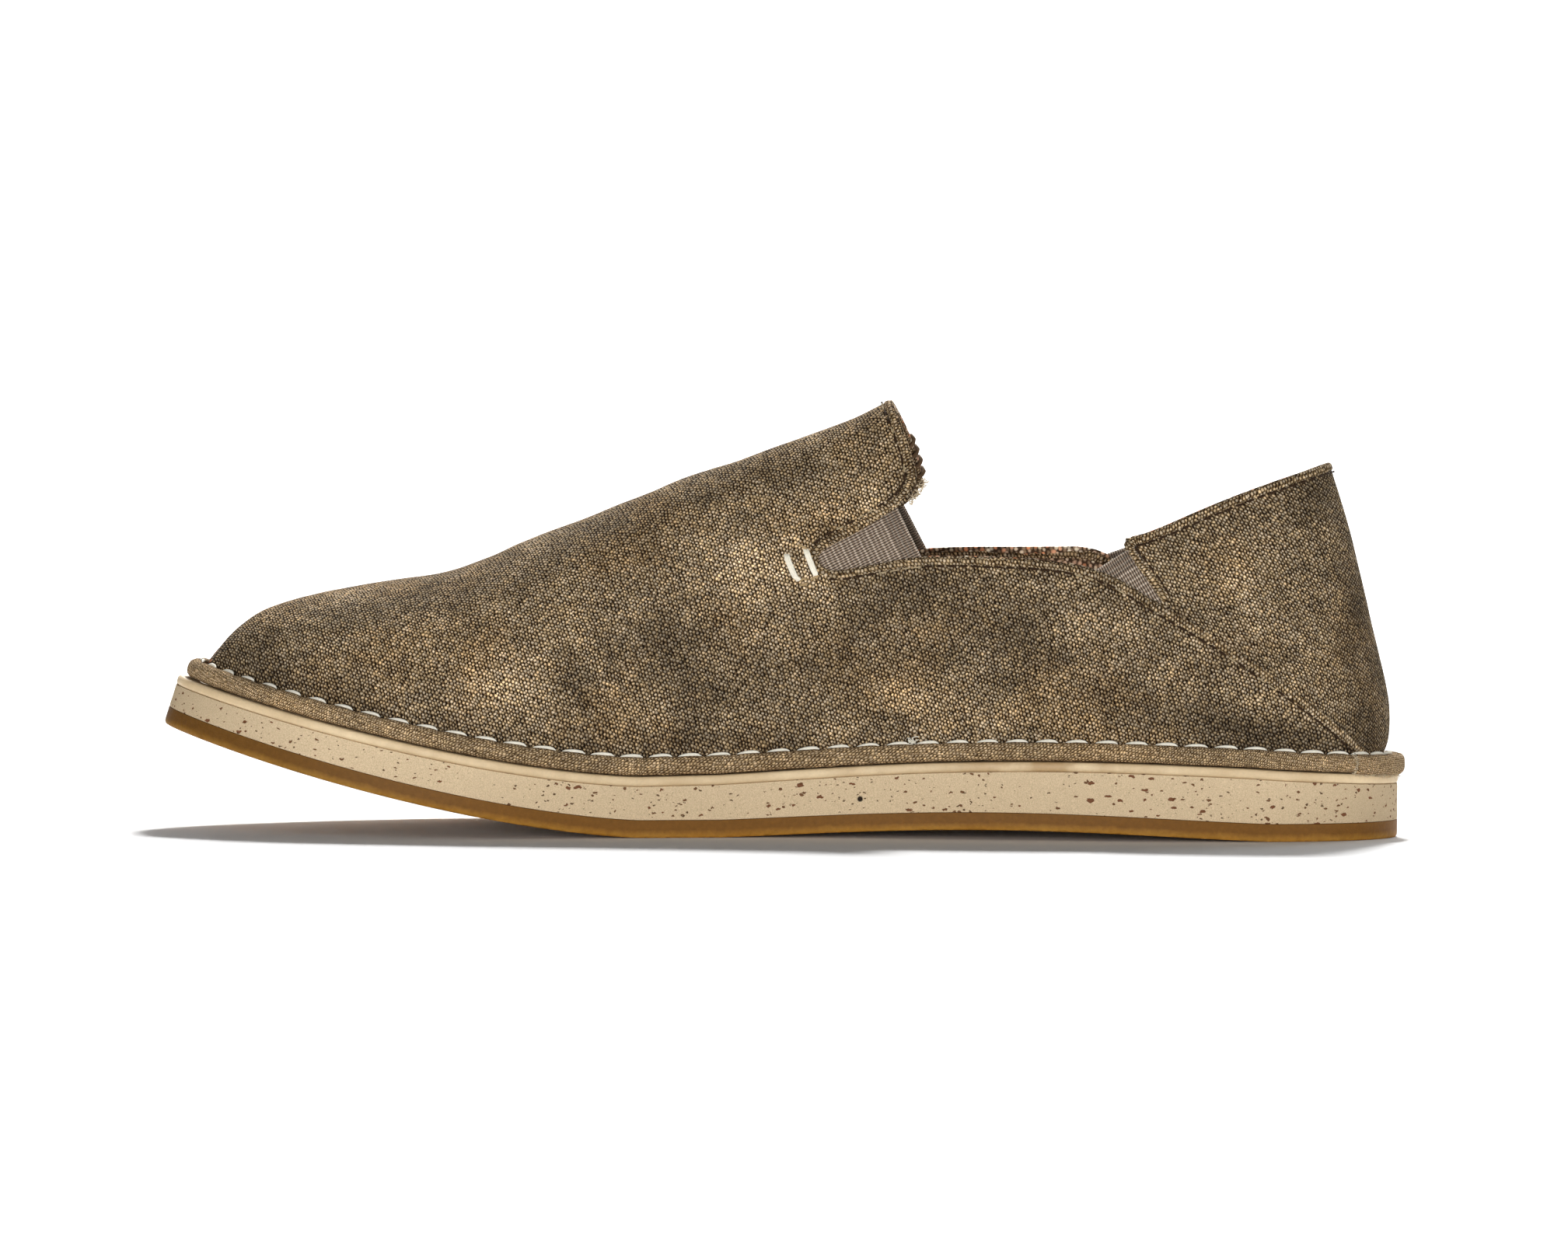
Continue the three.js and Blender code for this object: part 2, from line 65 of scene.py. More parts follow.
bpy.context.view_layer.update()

# The shoe's own sizes in millimetres, as in the source of the part
SOLE_LENGTH, BALL_WIDTH, SOLE_THICKNESS = 304, 106, 17.5
OUTSOLE_THICKNESS, RUNNER_THICKNESS, TOE_SPRING, WAIST_RISE = 4.3, 2.3, 26, 2.3
INSTEP_HEIGHT, COLLAR_HEIGHT, HEEL_HEIGHT = 107.2, 68.7, 92
UPPER_WALL, SEAM_LAP, UPPER_MARGIN, LAST_SHIFT = 2.4, 0.8, 5.3, 1.2
GORE_THICKNESS, GORE_RECESS, INSOLE_THICKNESS = 1.2, 1, 4
BINDING_WIDTH, BINDING_HEIGHT, BINDING_MARGIN, GAP = 3.9, 4.6, 0.1, 0.3
HEM_WIDTH, HEM_PROUD, HEM_STEP, HEM_STITCH_PITCH, STITCH_PITCH = 2.15, .34, .8, 2.9, 7.3
BULGE_REACH, LEAN_START, LEAN_EASE, HEEL_POLE, POLE_EASE, POLE_SETBACK, TOE_EASE = 5, 17, 4, 0.112, 6, 1.5, 20
HEEL_FLAT, FOREFOOT_FLAT, TOE_BREAK, SPRING_POWER, WAIST_POWER = 0.1, 0.543, 0.605, 1.45, 1.2
HEEL_X = SOLE_LENGTH / 2
MM = 0.001
FINE = 1.0

OUTLINE = {
    "at": (0, .01, .03, .06, .1, .16, .22, .3, .38, .45, .52, .6, .68, .74, .8, .86, .91, .95, .98, .995, 1),
    "medial": (0, .113, .196, .26, .303, .33, .335, .321, .303, .297, .316, .377, .443, .472, .467, .431, .37,
               .296, .215, .149, .078),
    "lateral": (0, .113, .196, .264, .314, .349, .368, .387, .408, .436, .473, .51, .528, .517, .472, .396, .307,
                .212, .108, .014, -.078),
}
THICKNESS = {"at": (0, .06, .13, .36, .5, .6, .82, 1), "thick": (.89, .95, 1, .935, .885, .85, .78, .71)}
RIDGE = {
    "back": (0, .0023, .0105, .026, .045, .083, .12, .158, .196, .226, .252, .29, .364, .44, .515, .558, .65, .75,
             .86),
    "height": (0, .045, .104, .178, .24, .314, .369, .42, .472, .529, .587, .656, .779, .864, .941, 1, 1.1, 1.14,
               1.14),
}
SECTION = {
    "at": (0, .2, .33, .45, .6, .75, .9, 1),
    "spread": (3.4, 3, 2.5, 2.1, 2.2, 2.3, 2.4, 2.4),
    "rise": (3.2, 2.9, 2.2, 1.75, 1.85, 2, 2.1, 2.1),
    "bulge": (.72, .4, .36, .34, .3, .22, .08, 0),
    "lean": (.222, .19, .12, 0, 0, 0, 0, 0),
    "ridge": (.012, .012, .012, .01, -.01, -.03, -.06, -.078),
}
THROAT = {
    "at": (.417, .412, .4, .3905, .3905, .395, .404, .4415, .466, .4695),
    "height": (1.0334, .9805, .7717, .5489, .4626, .393, .3178, .1368, .0366, -.0219),
}
QUARTER = {
    "at": (.466, .458, .445, .42, .389, .352, .314, .283, .258, .239, .22, .196, .165, .1258, .0888, .0578, .0318),
    "medial": (.961, .946, .951, .972, .995, 1, .996, .988, .972, .949, .911, .846, .768, .662, .546, .442, .34),
    "lateral": (.961, .948, .958, .983, 1.006, 1.014, 1.016, 1.018, 1.018, .995, .937, .86, .77, .662, .546, .442,
                .34),
}
HEEL_FRONT = {
    "at": (.19, .196, .208, .2195, .222),
    "medial": (0, .0888, .2331, .3614, .4255),
    "lateral": (0, .0888, .2251, .3453, .4041),
}
HEEL_COLLAR = {
    "at": (.222, .218, .208, .19, .153, .1148, .0781, .0573),
    "medial": (.4255, .4656, .4843, .5457, .69, .8236, .9385, 1),
    "lateral": (.4041, .4389, .4549, .511, .6553, .7969, .9279, 1),
}
COLLAR_SLOPE = .37


def column(table, order, name, value, key=None):
    """A smooth run through one column of a table."""
    xs, ys = table[order], table[name]
    if key:
        xs, value = [key(x) for x in xs], key(value)
    x = min(max(value, xs[0]), xs[-1])
    i = 0
    while i < len(xs) - 2 and x > xs[i + 1]:
        i += 1

    def slope(k):
        a, b = max(k - 1, 0), min(k + 1, len(xs) - 1)
        return (ys[b] - ys[a]) / (xs[b] - xs[a])

    run = xs[i + 1] - xs[i]
    t = (x - xs[i]) / run
    return ((ys[i] * (1 + 2 * t) + slope(i) * run * t) * (1 - t) ** 2
            + (ys[i + 1] * (3 - 2 * t) - slope(i + 1) * run * (1 - t)) * t * t)


def x_at(share):
    """Where a share of the sole's length lies, from the heel."""
    return HEEL_X - share * SOLE_LENGTH


def share_at(x):
    return (HEEL_X - x) / SOLE_LENGTH


def turn_at(share):
    return math.acos(1 - 2 * min(max(share, 0), 1))


def underside(x):
    at = share_at(x)
    if at > TOE_BREAK:
        return TOE_SPRING * ((at - TOE_BREAK) / (1 - TOE_BREAK)) ** SPRING_POWER
    if at <= HEEL_FLAT or at >= FOREFOOT_FLAT:
        return 0
    return WAIST_RISE * math.sin(math.pi * (at - HEEL_FLAT) / (FOREFOOT_FLAT - HEEL_FLAT)) ** WAIST_POWER


def thickness(x):
    return SOLE_THICKNESS * column(THICKNESS, "at", "thick", share_at(x))


def on_sole(x, y, h):
    """The point at height h over the sole's underside, square to it."""
    slope = underside(x + .5) - underside(x - .5)
    norm = math.hypot(1, slope)
    return Vector((x - h * slope / norm, y, underside(x) + h / norm))


@lru_cache(None)
def outline(turn):
    """The sole's outline at a turn, from 0 at the heel to pi at the toe, positive on the lateral side."""
    at = (1 - math.cos(turn)) / 2
    width = column(OUTLINE, "at", "medial" if turn < 0 else "lateral", at, turn_at) * BALL_WIDTH
    return Vector((x_at(at), -width if turn < 0 else width))


@lru_cache(None)
def outline_normal(turn):
    def around(t):
        return t - 2 * math.pi if t > math.pi else t + 2 * math.pi if t < -math.pi else t

    a, b = outline(around(turn - .01)), outline(around(turn + .01))
    return Vector((b.y - a.y, a.x - b.x)).normalized()


def inset_point(turn, inset):
    return outline(turn) - outline_normal(turn) * inset


def on_top(turn, inset, height):
    """A point on top of the sole, where the upper and what goes with it stand."""
    p = inset_point(turn, inset)
    x = p.x + LAST_SHIFT
    return on_sole(x, p.y, thickness(x) + GAP + height)


# The frame stands with its box centred: the same shift brings the sizes above to their place in it.
low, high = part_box("outsole")
widest = max(outline(math.pi * i / 44).y for i in range(45))
SHIFT = Vector((high.x / MM - HEEL_X, high.y / MM - widest, 0))


def placed(p):
    return (p + SHIFT) * MM


@lru_cache(None)
def section(turn, inset):
    """What the upper's section at a turn is made of: foot points, ridge and rows of the table."""
    toe = on_top(math.pi, UPPER_MARGIN, 0)
    first = x_at(THROAT["at"][0])
    vamp = INSTEP_HEIGHT - underside(first) - thickness(first)
    middle = (on_top(-turn, UPPER_MARGIN, 0) + on_top(turn, UPPER_MARGIN, 0)) / 2
    pole = x_at(HEEL_POLE)
    ridge_x = (middle.x + pole - math.hypot(middle.x - pole, POLE_EASE)) / 2 + POLE_SETBACK
    back = max((min(middle.x, ridge_x) - toe.x) / SOLE_LENGTH, 0)
    height = vamp * column(RIDGE, "back", "height", back, math.sqrt)
    row = {name: column(SECTION, "at", name, share_at(middle.x)) for name in SECTION if name != "at"}
    to_toe = min(1, max(0, (middle.x - toe.x) / TOE_EASE))
    ridge = Vector((middle.x + (ridge_x - middle.x) * to_toe, row["ridge"] * BALL_WIDTH,
                    middle.z + height - inset * min(1, height / TOE_EASE)))
    feet = {side: (on_top(side * turn, UPPER_MARGIN + inset, 0), outline_normal(side * turn)) for side in (-1, 1)}
    return feet, ridge, row


def last_point(turn, side, up, inset=0.0):
    """A point of the upper's form: up runs from 0 at its foot to 1 on its ridge."""
    feet, ridge, row = section(turn, inset)
    base, out = feet[side]
    inward = 1 - (1 - min(up, 1) ** row["rise"]) ** (1 / row["spread"])
    over = up * (ridge.z - base.z)
    leaning = (math.hypot(over - LEAN_START, LEAN_EASE) + over - LEAN_START) / 2
    swell = row["bulge"] * BINDING_HEIGHT * (1 - math.exp(-(over / BULGE_REACH) ** 2))
    shift = (swell - row["lean"] * leaning) * (1 - inward)
    return Vector((base.x + (ridge.x - base.x) * inward + out.x * shift,
                   base.y + (ridge.y - base.y) * inward + out.y * shift, base.z + over))


# Lines of the side view, in millimetres: heights come from the same shares as the source's.
def smooth_line(points, steps):
    """A Catmull-Rom line through a few side-view points."""
    out = []
    for i in range(steps + 1):
        s = (len(points) - 1) * i / steps
        k = min(int(s), len(points) - 2)
        p = [points[min(max(k + d, 0), len(points) - 1)] for d in (-1, 0, 1, 2)]
        t = s - k
        v = [(p[2][a] - p[0][a]) / 2 for a in (0, 1)]
        w = [(p[3][a] - p[1][a]) / 2 for a in (0, 1)]
        out.append(tuple((2 * p[1][a] - 2 * p[2][a] + v[a] + w[a]) * t ** 3
                         + (3 * p[2][a] - 3 * p[1][a] - 2 * v[a] - w[a]) * t * t + v[a] * t + p[1][a]
                         for a in (0, 1)))
    return out


def throat_z(share):
    return COLLAR_HEIGHT + share * (INSTEP_HEIGHT - COLLAR_HEIGHT)


NOTCH = (x_at(.19), .838 * COLLAR_HEIGHT)
THROAT_LINE = [(x_at(a), throat_z(h)) for a, h in zip(THROAT["at"], THROAT["height"])]


def quarter_line(side):
    return [(x_at(a), h * COLLAR_HEIGHT) for a, h in zip(QUARTER["at"], QUARTER[side])]


def heel_line(table, side):
    return [(x_at(a), NOTCH[1] + h * (HEEL_HEIGHT - NOTCH[1])) for a, h in zip(table["at"], table[side])]


def opening(side):
    """What is cut away over the throat and the collar."""
    quarter = [p for p in quarter_line(side) if p[0] < NOTCH[0]]
    last = heel_line(HEEL_COLLAR, side)[-1]
    return ([(THROAT_LINE[0][0] - UPPER_WALL, 150)] + smooth_line(THROAT_LINE, 60)
            + smooth_line(quarter + [NOTCH], 60) + smooth_line(heel_line(HEEL_FRONT, side), 16)[1:]
            + smooth_line(heel_line(HEEL_COLLAR, side), 40)[1:]
            + [(HEEL_X + 5, last[1] + (HEEL_X + 5 - last[0]) * COLLAR_SLOPE), (HEEL_X + 5, 150)])


def behind_seam(side, forward=0.0):
    """What lies behind the lap seam between the quarter and the heel panel."""
    line = [(x - forward, z) for x, z in smooth_line(quarter_line(side), 90) if x > x_at(.258)]
    end = (line[-1][0] + 30, line[-1][1] - 24)
    return line + [end, (HEEL_X + 30, end[1]), (HEEL_X + 30, 150), (line[0][0], 150)]


def depth_inside(points, polygon):
    """How far inside a side-view polygon each point lies; negative outside it."""
    x, z = points[:, 0:1], points[:, 1:2]
    a = np.array(polygon, float)
    b = np.roll(a, -1, 0)
    dx, dz = (b - a).T
    t = np.clip(((x - a[:, 0]) * dx + (z - a[:, 1]) * dz) / np.maximum(dx * dx + dz * dz, 1e-12), 0, 1)
    far = np.hypot(x - a[:, 0] - t * dx, z - a[:, 1] - t * dz).min(1)
    crosses = (a[:, 1] > z) != (b[:, 1] > z)
    with np.errstate(divide="ignore", invalid="ignore"):
        at = a[:, 0] + (z - a[:, 1]) * dx / dz
    inside = (crosses & (x < at)).sum(1) % 2 == 1
    return np.where(inside, far, -far)


def depth_of(cos, region):
    """The depth inside a region given as one side-view polygon for each side."""
    p = np.array(cos, float).reshape(-1, 3) / MM - np.array(SHIFT)
    flat = p[:, [0, 2]]
    return np.where(p[:, 1] < .6, depth_inside(flat, region["medial"]), depth_inside(flat, region["lateral"]))


def region_of(make, *args):
    return {side: make(side, *args) for side in ("medial", "lateral")}


OPENING = region_of(opening)


# Soft troughs (negative) and ridges, in shares of the sole's length and of the instep height:
# at, height, direction in degrees, reach along and across in mm, depth in mm. They are on the medial side,
# and the lateral side has them a little further back.
FOLDS = (
    (.700, .33, 62, 20, 6.0, -.9), (.655, .36, 70, 24, 7.0, .7), (.615, .37, 66, 22, 6.0, -.8),
    (.570, .33, 75, 20, 6.5, .6), (.530, .31, 72, 20, 6.0, -.7), (.760, .40, 40, 16, 6.0, -.5),
    (.820, .36, 25, 16, 5.0, -.5), (.490, .42, 40, 18, 6.0, -.7), (.455, .50, 30, 16, 5.5, .5),
    (.420, .36, 12, 22, 5.0, -.6), (.340, .42, 8, 26, 6.0, -.6), (.280, .34, -18, 20, 6.0, .5),
    (.240, .27, -30, 18, 5.0, -.7), (.170, .30, -42, 16, 5.0, .5), (.120, .26, -60, 14, 5.0, -.6),
    (.130, .62, 70, 22, 6.0, -.5), (.085, .50, 80, 22, 5.0, -.4), (.060, .66, 75, 16, 4.0, -.5),
    (.520, .68, 22, 26, 6.0, -.5), (.580, .58, 25, 24, 6.0, .4), (.470, .80, 25, 18, 5.0, -.5),
    (.660, .52, 24, 22, 6.0, -.5), (.740, .48, 16, 20, 5.0, .4), (.870, .36, 5, 14, 5.0, .3),
)

# Where wear and wax left the canvas darker (negative) or paler, in the same six columns. The pale patch high on the
# vamp (.426, .773) is painted light: it makes the top of the vamp lighter.
WEAR_AND_LIGHT = (
    (.915, .371, -25, 10.2, 4.6, -.8), (.852, .309, -22, 13.6, 4.6, -.8), (.664, .680, 25, 9.1, 2.5, -.5),
    (.561, .753, 20, 7.9, 2.9, -.4), (.655, .314, -70, 11.3, 4.2, -.55), (.574, .472, 0, 13.6, 10.4, -.35),
    (.530, .330, 0, 15.8, 8.3, -.4), (.443, .464, 60, 12.5, 7.3, -.8), (.394, .563, 15, 15.8, 8.3, -.7),
    (.337, .564, 0, 11.3, 6.2, -.4), (.471, .384, 0, 6.8, 2.9, -.6), (.312, .442, -10, 20.4, 10.4, -.35),
    (.277, .416, -40, 11.3, 2.5, -.5), (.230, .339, -20, 13.6, 6.2, -.75), (.149, .270, -10, 20.4, 4.6, -.9),
    (.087, .226, -5, 20.1, 4.9, -1.1), (.070, .780, 0, 6.8, 6.2, -.6), (.035, .532, -75, 13.6, 2.5, -.5),
    (.028, .300, 80, 16.9, 6.2, -.7), (.579, .216, 3, 27.2, 2.9, -.6), (.720, .244, -8, 13.6, 3.3, -.4),
    (.744, .461, 70, 7.9, 4.2, -.3), (.714, .349, 0, 11.3, 8.3, .55), (.644, .402, -58, 11.3, 2.9, .5),
    (.766, .486, 0, 9.1, 6.2, .3), (.513, .630, 0, 20.4, 9.3, .7), (.426, .773, 25, 15.8, 6.2, .45),
    (.462, .543, -70, 11.3, 3.3, .6), (.386, .307, 0, 15.8, 5.8, .6), (.311, .292, 0, 13.6, 4.6, .5),
    (.125, .569, 0, 13.6, 12.5, .35), (.181, .603, 0, 6.8, 6.2, .3), (.673, .541, 0, 11.3, 10.4, .2),
    (.854, .448, 0, 13.6, 6.2, .15),
)


def hills(rows, p):
    """The sum of the soft hills of a table at a point in millimetres."""
    back, total = .012 if p.y > 0 else 0, 0.0
    for at, height, direction, along, across, amount in rows:
        dx, dz = p.x - x_at(at - back), p.z - height * INSTEP_HEIGHT
        c, s = math.cos(math.radians(direction)), math.sin(math.radians(direction))
        a, b = (dx * c + dz * s) / along, (dz * c - dx * s) / across
        if abs(a) < 2 and abs(b) < 3:
            total += amount * math.exp(-a * a * 1.5 - b * b)
    return total


def cloth_lift(p, over):
    """How far the canvas stands off the form at a point in millimetres."""
    lift = .45 * noise.noise(p / 23) + .22 * noise.noise(p / 9 + Vector((7, 3, 1)))
    return (lift + hills(FOLDS, p)) * min(1, over / 9) * .9


def paint_wear_and_light(bm):
    """Gives each point how far the listed patches pale or darken the canvas there: wear, and painted light on the top
    of the vamp.
    """
    layer = bm.verts.layers.float.new("wash")
    for v in bm.verts:
        v[layer] = hills(WEAR_AND_LIGHT, v.co / MM - SHIFT)


# How meshes are made
def finish_mesh(bm, name, material, lay=True):
    """Makes an object of a bmesh, gives it its material and lets it ride on the shoe."""
    mesh = bpy.data.meshes.new(name)
    bm.to_mesh(mesh)
    bm.free()
    mesh.materials.append(material)
    mesh.shade_smooth()
    piece = bpy.data.objects.new(name, mesh)
    bpy.context.scene.collection.objects.link(piece)
    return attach(piece, "root") if lay else piece


def grid(along, across, place):
    """A grid of cells moved to place(u, v), both from 0 to 1."""
    bm = bmesh.new()
    bmesh.ops.create_grid(bm, x_segments=along, y_segments=across, size=.5)
    u_layer = bm.verts.layers.float.new("u")
    v_layer = bm.verts.layers.float.new("v")
    for v in bm.verts:
        v[u_layer], v[v_layer] = round(v.co.x + .5, 6), round(v.co.y + .5, 6)
        v.co = place(v[u_layer], v[v_layer])
    return bm


def shares(bm):
    """The layers that hold each point's place in its grid."""
    return bm.verts.layers.float["u"], bm.verts.layers.float["v"]


def face_out(bm, outward, merge=0.0, even_out=True):
    """Turns a mesh's faces to the outside, where outward(face) is positive for a face that looks that way."""
    if merge:
        bmesh.ops.remove_doubles(bm, verts=bm.verts, dist=merge)
    if even_out:
        bmesh.ops.recalc_face_normals(bm, faces=bm.faces)
    if outward and sum(outward(f) for f in bm.faces) < 0:
        bmesh.ops.reverse_faces(bm, faces=bm.faces)


def from_middle(height):
    """How far a face looks away from a point over the middle of the shoe."""
    return lambda f: f.normal.dot(f.calc_center_median() - Vector((0, 0, height)))


def lay_cloth(bm, cloth):
    """Gives the corners their place on the flat cloth in millimetres, from cloth(vertex)."""
    uv = bm.loops.layers.uv.verify()
    for face in bm.faces:
        for loop in face.loops:
            loop[uv].uv = cloth(loop.vert)


def upper_form(inset, lift=0.0, stations=260, steps=60):
    """The whole form of the upper as one sheet, with how far each point lies along and up the cloth."""
    stations, steps = int(stations * FINE), int(steps * FINE)
    lines = {}
    for i in range(stations + 1):
        turn = math.pi * i / stations
        for side in (-1, 1):
            dense = [last_point(turn, side, math.sin(math.pi / 2 * (k / 90) ** 1.4), inset) for k in range(91)]
            run = [0.0]
            for a, b in zip(dense, dense[1:]):
                run.append(run[-1] + (b - a).length)
            total, line, k = run[-1], [], 0
            for j in range(steps + 1):
                want = total * (.8 * j / steps + .2 * (j / steps) ** 2)
                while k < 89 and run[k + 1] < want:
                    k += 1
                t = min(1, (want - run[k]) / max(run[k + 1] - run[k], 1e-9))
                line.append((dense[k].lerp(dense[k + 1], t), want))
            lines[i, side] = line

    def place(u, v):
        i, j = round(u * stations), round(v * 2 * steps)
        side, k = (-1, j) if j <= steps else (1, 2 * steps - j)
        return placed(lines[i, side][k][0])

    bm = grid(stations, 2 * steps, place)
    far = {}
    for side in (-1, 1):
        for k in range(steps + 1):
            far[0, side, k] = 0.0
            for i in range(1, stations + 1):
                a, b = lines[i - 1, side][k][0], lines[i, side][k][0]
                far[i, side, k] = far[i - 1, side, k] + math.hypot(b.x - a.x, b.y - a.y)
    us, vs = shares(bm)
    names = [bm.verts.layers.float.new(n) for n in ("along", "over", "top", "top_fore", "step", "foot", "fore")]
    middle = round(stations / 2)

    def fore(i, side, k):
        """How far a point lies to the toe: partly as the tape lies, mostly straight along the shoe."""
        tape = far[i, side, k] - far[middle, side, k] - lines[middle, side][k][0].x
        return .3 * tape - .7 * lines[i, side][k][0].x

    for v in bm.verts:
        i, j = round(v[us] * stations), round(v[vs] * 2 * steps)
        side, k = (-1, j) if j <= steps else (1, 2 * steps - j)
        v[names[0]], v[names[1]] = far[i, side, k], lines[i, side][k][1]
        tops = {s: lines[i, s][steps][1] + lines[i, s][0][0].z for s in (-1, 1)}
        v[names[2]], v[names[3]], v[names[4]] = tops[side], fore(i, side, steps), tops[-1] - tops[1]
        v[names[5]], v[names[6]] = lines[i, side][0][0].z, fore(i, side, k)
    face_out(bm, from_middle(.03), merge=2e-5)
    bm.normal_update()
    if lift:
        over = bm.verts.layers.float["over"]
        moves = [(v, v.normal * (lift * MM * cloth_lift(v.co / MM - SHIFT, v[over]))) for v in bm.verts]
        for v, move in moves:
            v.co += move
        bm.normal_update()
    return bm


def cut_away(bm, region):
    """Cuts a sheet along a side-view region and drops what lies inside it."""
    bm.verts.index_update()
    depth = depth_of([v.co for v in bm.verts], region)
    depth[np.abs(depth) < .02] = -.02
    marks = []
    for edge in list(bm.edges):
        a, b = edge.verts
        if depth[a.index] * depth[b.index] < 0:
            t = depth[a.index] / (depth[a.index] - depth[b.index])
            marks.append((edge, a, t))
    made = [bmesh.utils.edge_split(edge, a, t)[1] for edge, a, t in marks]
    bmesh.ops.connect_verts(bm, verts=made, check_degenerate=False)
    faces = list(bm.faces)
    inside = depth_of([f.calc_center_median() for f in faces], region) > 0
    bmesh.ops.delete(bm, geom=[f for f, gone in zip(faces, inside) if gone], context="FACES")


def rim_paths(bm):
    """The open edges of a sheet as runs of points, without its foot."""
    over = bm.verts.layers.float["over"]
    edges = [e for e in bm.edges if e.is_boundary and max(v[over] for v in e.verts) > .9]
    near = {}
    for e in edges:
        for v in e.verts:
            near.setdefault(v, []).append(e)
    runs, used = [], set()
    starts = [v for v in near if len(near[v]) == 1] + list(near)
    for start in starts:
        v, run = start, [start.co.copy()]
        while True:
            e = next((e for e in near[v] if e not in used), None)
            if e is None:
                break
            used.add(e)
            v = e.other_vert(v)
            run.append(v.co.copy())
        if len(run) > 8:
            runs.append(run)
    return runs


def even(run, pitch):
    """The same run with evenly spaced, slightly smoothed points."""
    for _ in range(3):
        run = [run[0]] + [(a + b * 2 + c) / 4 for a, b, c in zip(run, run[1:], run[2:])] + [run[-1]]
    far = [0.0]
    for a, b in zip(run, run[1:]):
        far.append(far[-1] + (b - a).length)
    count = max(4, round(far[-1] / (pitch * MM)))
    out, k = [], 0
    for i in range(count + 1):
        want = far[-1] * i / count
        while k < len(far) - 2 and far[k + 1] < want:
            k += 1
        out.append(run[k].lerp(run[k + 1], min(1, (want - far[k]) / max(far[k + 1] - far[k], 1e-12))))
    return out


class EdgeFrame:
    """Frames along an edge on a form: which way the form faces, and which way the cloth lies."""

    def __init__(self, form, run, out, into):
        self.form, self.run, self.out, self.into = form, run, out, into
        self.long = sum((b - a).length for a, b in zip(run, run[1:])) / MM

    def at(self, share):
        s = share * (len(self.run) - 1)
        i = min(int(s), len(self.run) - 2)
        t = s - i
        return (self.run[i].lerp(self.run[i + 1], t), self.out[i].lerp(self.out[i + 1], t).normalized(),
                self.into[i].lerp(self.into[i + 1], t).normalized(), (self.run[i + 1] - self.run[i]).normalized())

    def point(self, share, inward, height):
        """A point inward from the edge and height over the form, both in millimetres."""
        p, out, into, _ = self.at(share)
        if inward > .2 and height > -1:
            hit, normal, *_ = self.form.find_nearest(p + into * inward * MM)
            return hit + normal * height * MM
        return p + into * inward * MM + out * height * MM

    def part(self, first, last):
        """The same edge between two shares."""
        count = max(8, round(self.long * (last - first) / .9))
        rows = [self.at(first + (last - first) * i / count) for i in range(count + 1)]
        return EdgeFrame(self.form, *([row[k] for row in rows] for k in range(3)))


def edge_on(form, run, region):
    """The frames of a sheet's rim, with the cloth on the side that lies outside a region."""
    out, into = [], []
    for i, p in enumerate(run):
        ahead = (run[min(i + 1, len(run) - 1)] - run[max(i - 1, 0)]).normalized()
        out.append(form.find_nearest(p)[1])
        into.append(out[-1].cross(ahead).normalized())
    trial = [p + d * .0015 for p, d in zip(run, into)]
    if (depth_of(trial, region) > 0).mean() > .5:
        into = [-d for d in into]
    for _ in range(6):
        for rows in (out, into):
            rows[1:-1] = [(a + b + c).normalized() for a, b, c in zip(rows, rows[1:], rows[2:])]
    return EdgeFrame(form, run, out, into)


def hem(name, edge, depth, material):
    """A folded edge: a rounded strip that wraps the wall from its face to its back.
    depth(share) is how thick the wall under it is."""
    width, proud = HEM_WIDTH, HEM_PROUD
    count = max(4, round(edge.long / HEM_STEP * FINE))

    def lengths(u):
        deep = depth(u)
        r = (deep + proud) / 2
        return deep, r, max(width - r, .3), math.pi * r * .95

    def place(u, v):
        deep, r, face, fold = lengths(u)
        far = v * (2 * face + fold)
        bumpy = .16 * noise.noise(edge.at(u)[0] * 420) + .07 * noise.noise(edge.at(u)[0] * 1300)
        if far < face:
            d = far
            return edge.point(u, width - d, -.3 + (proud + .3 + bumpy) * min(1, d / .5) ** .5)
        if far < face + fold:
            a = math.pi * (far - face) / fold
            return edge.point(u, r * .9 * (1 - math.sin(a)) - .1, proud + bumpy - r * (1 - math.cos(a)))
        return edge.point(u, r + far - face - fold, -deep - .05)

    bm = grid(count, 22, place)
    us, vs = shares(bm)

    def cloth(v):
        _, _, face, fold = lengths(v[us])
        return v[us] * edge.long, v[vs] * (2 * face + fold)

    lay_cloth(bm, cloth)
    bmesh.ops.recalc_face_normals(bm, faces=bm.faces)
    mid = edge.at(.5)
    probe = min(bm.faces, key=lambda f: (f.calc_center_median() - (mid[0] - mid[2] * .004)).length)
    if probe.normal.dot(mid[2]) > 0:
        bmesh.ops.reverse_faces(bm, faces=bm.faces)
    return finish_mesh(bm, name, material)


def threads(name, places, material, length, thick):
    """Many short stitches as one mesh. places: (point, along, out) for each."""
    bm = bmesh.new()
    for p, along, out in places:
        across = out.cross(along).normalized()
        frame_of = Matrix((along, across, out)).transposed().to_4x4()
        size = Matrix.Diagonal((length / 2 * MM, thick / 2 * MM, thick / 2 * MM, 1))
        bmesh.ops.create_uvsphere(bm, u_segments=6, v_segments=5, radius=1, matrix=Matrix.Translation(
            p - out * .1 * MM) @ frame_of @ size @ Matrix.Rotation(math.pi / 2, 4, "Y"))
    return finish_mesh(bm, name, material)


def stitch_places(edge, inward, height, keep=lambda share, n: True):
    """Places of stitches along an edge; keep(share, n) says which of them are there."""
    count = int(edge.long / HEM_STITCH_PITCH)
    out = []
    for i in range(count):
        share = (i + .5) / count
        if keep(share, i):
            side = inward + .12 * noise.noise(Vector((i * .7, inward, 3)))
            a, b = edge.point(share - .2 / count, side, height), edge.point(share + .2 / count, side, height)
            out.append(((a + b) / 2, (b - a).normalized(), edge.at(share)[1]))
    return out


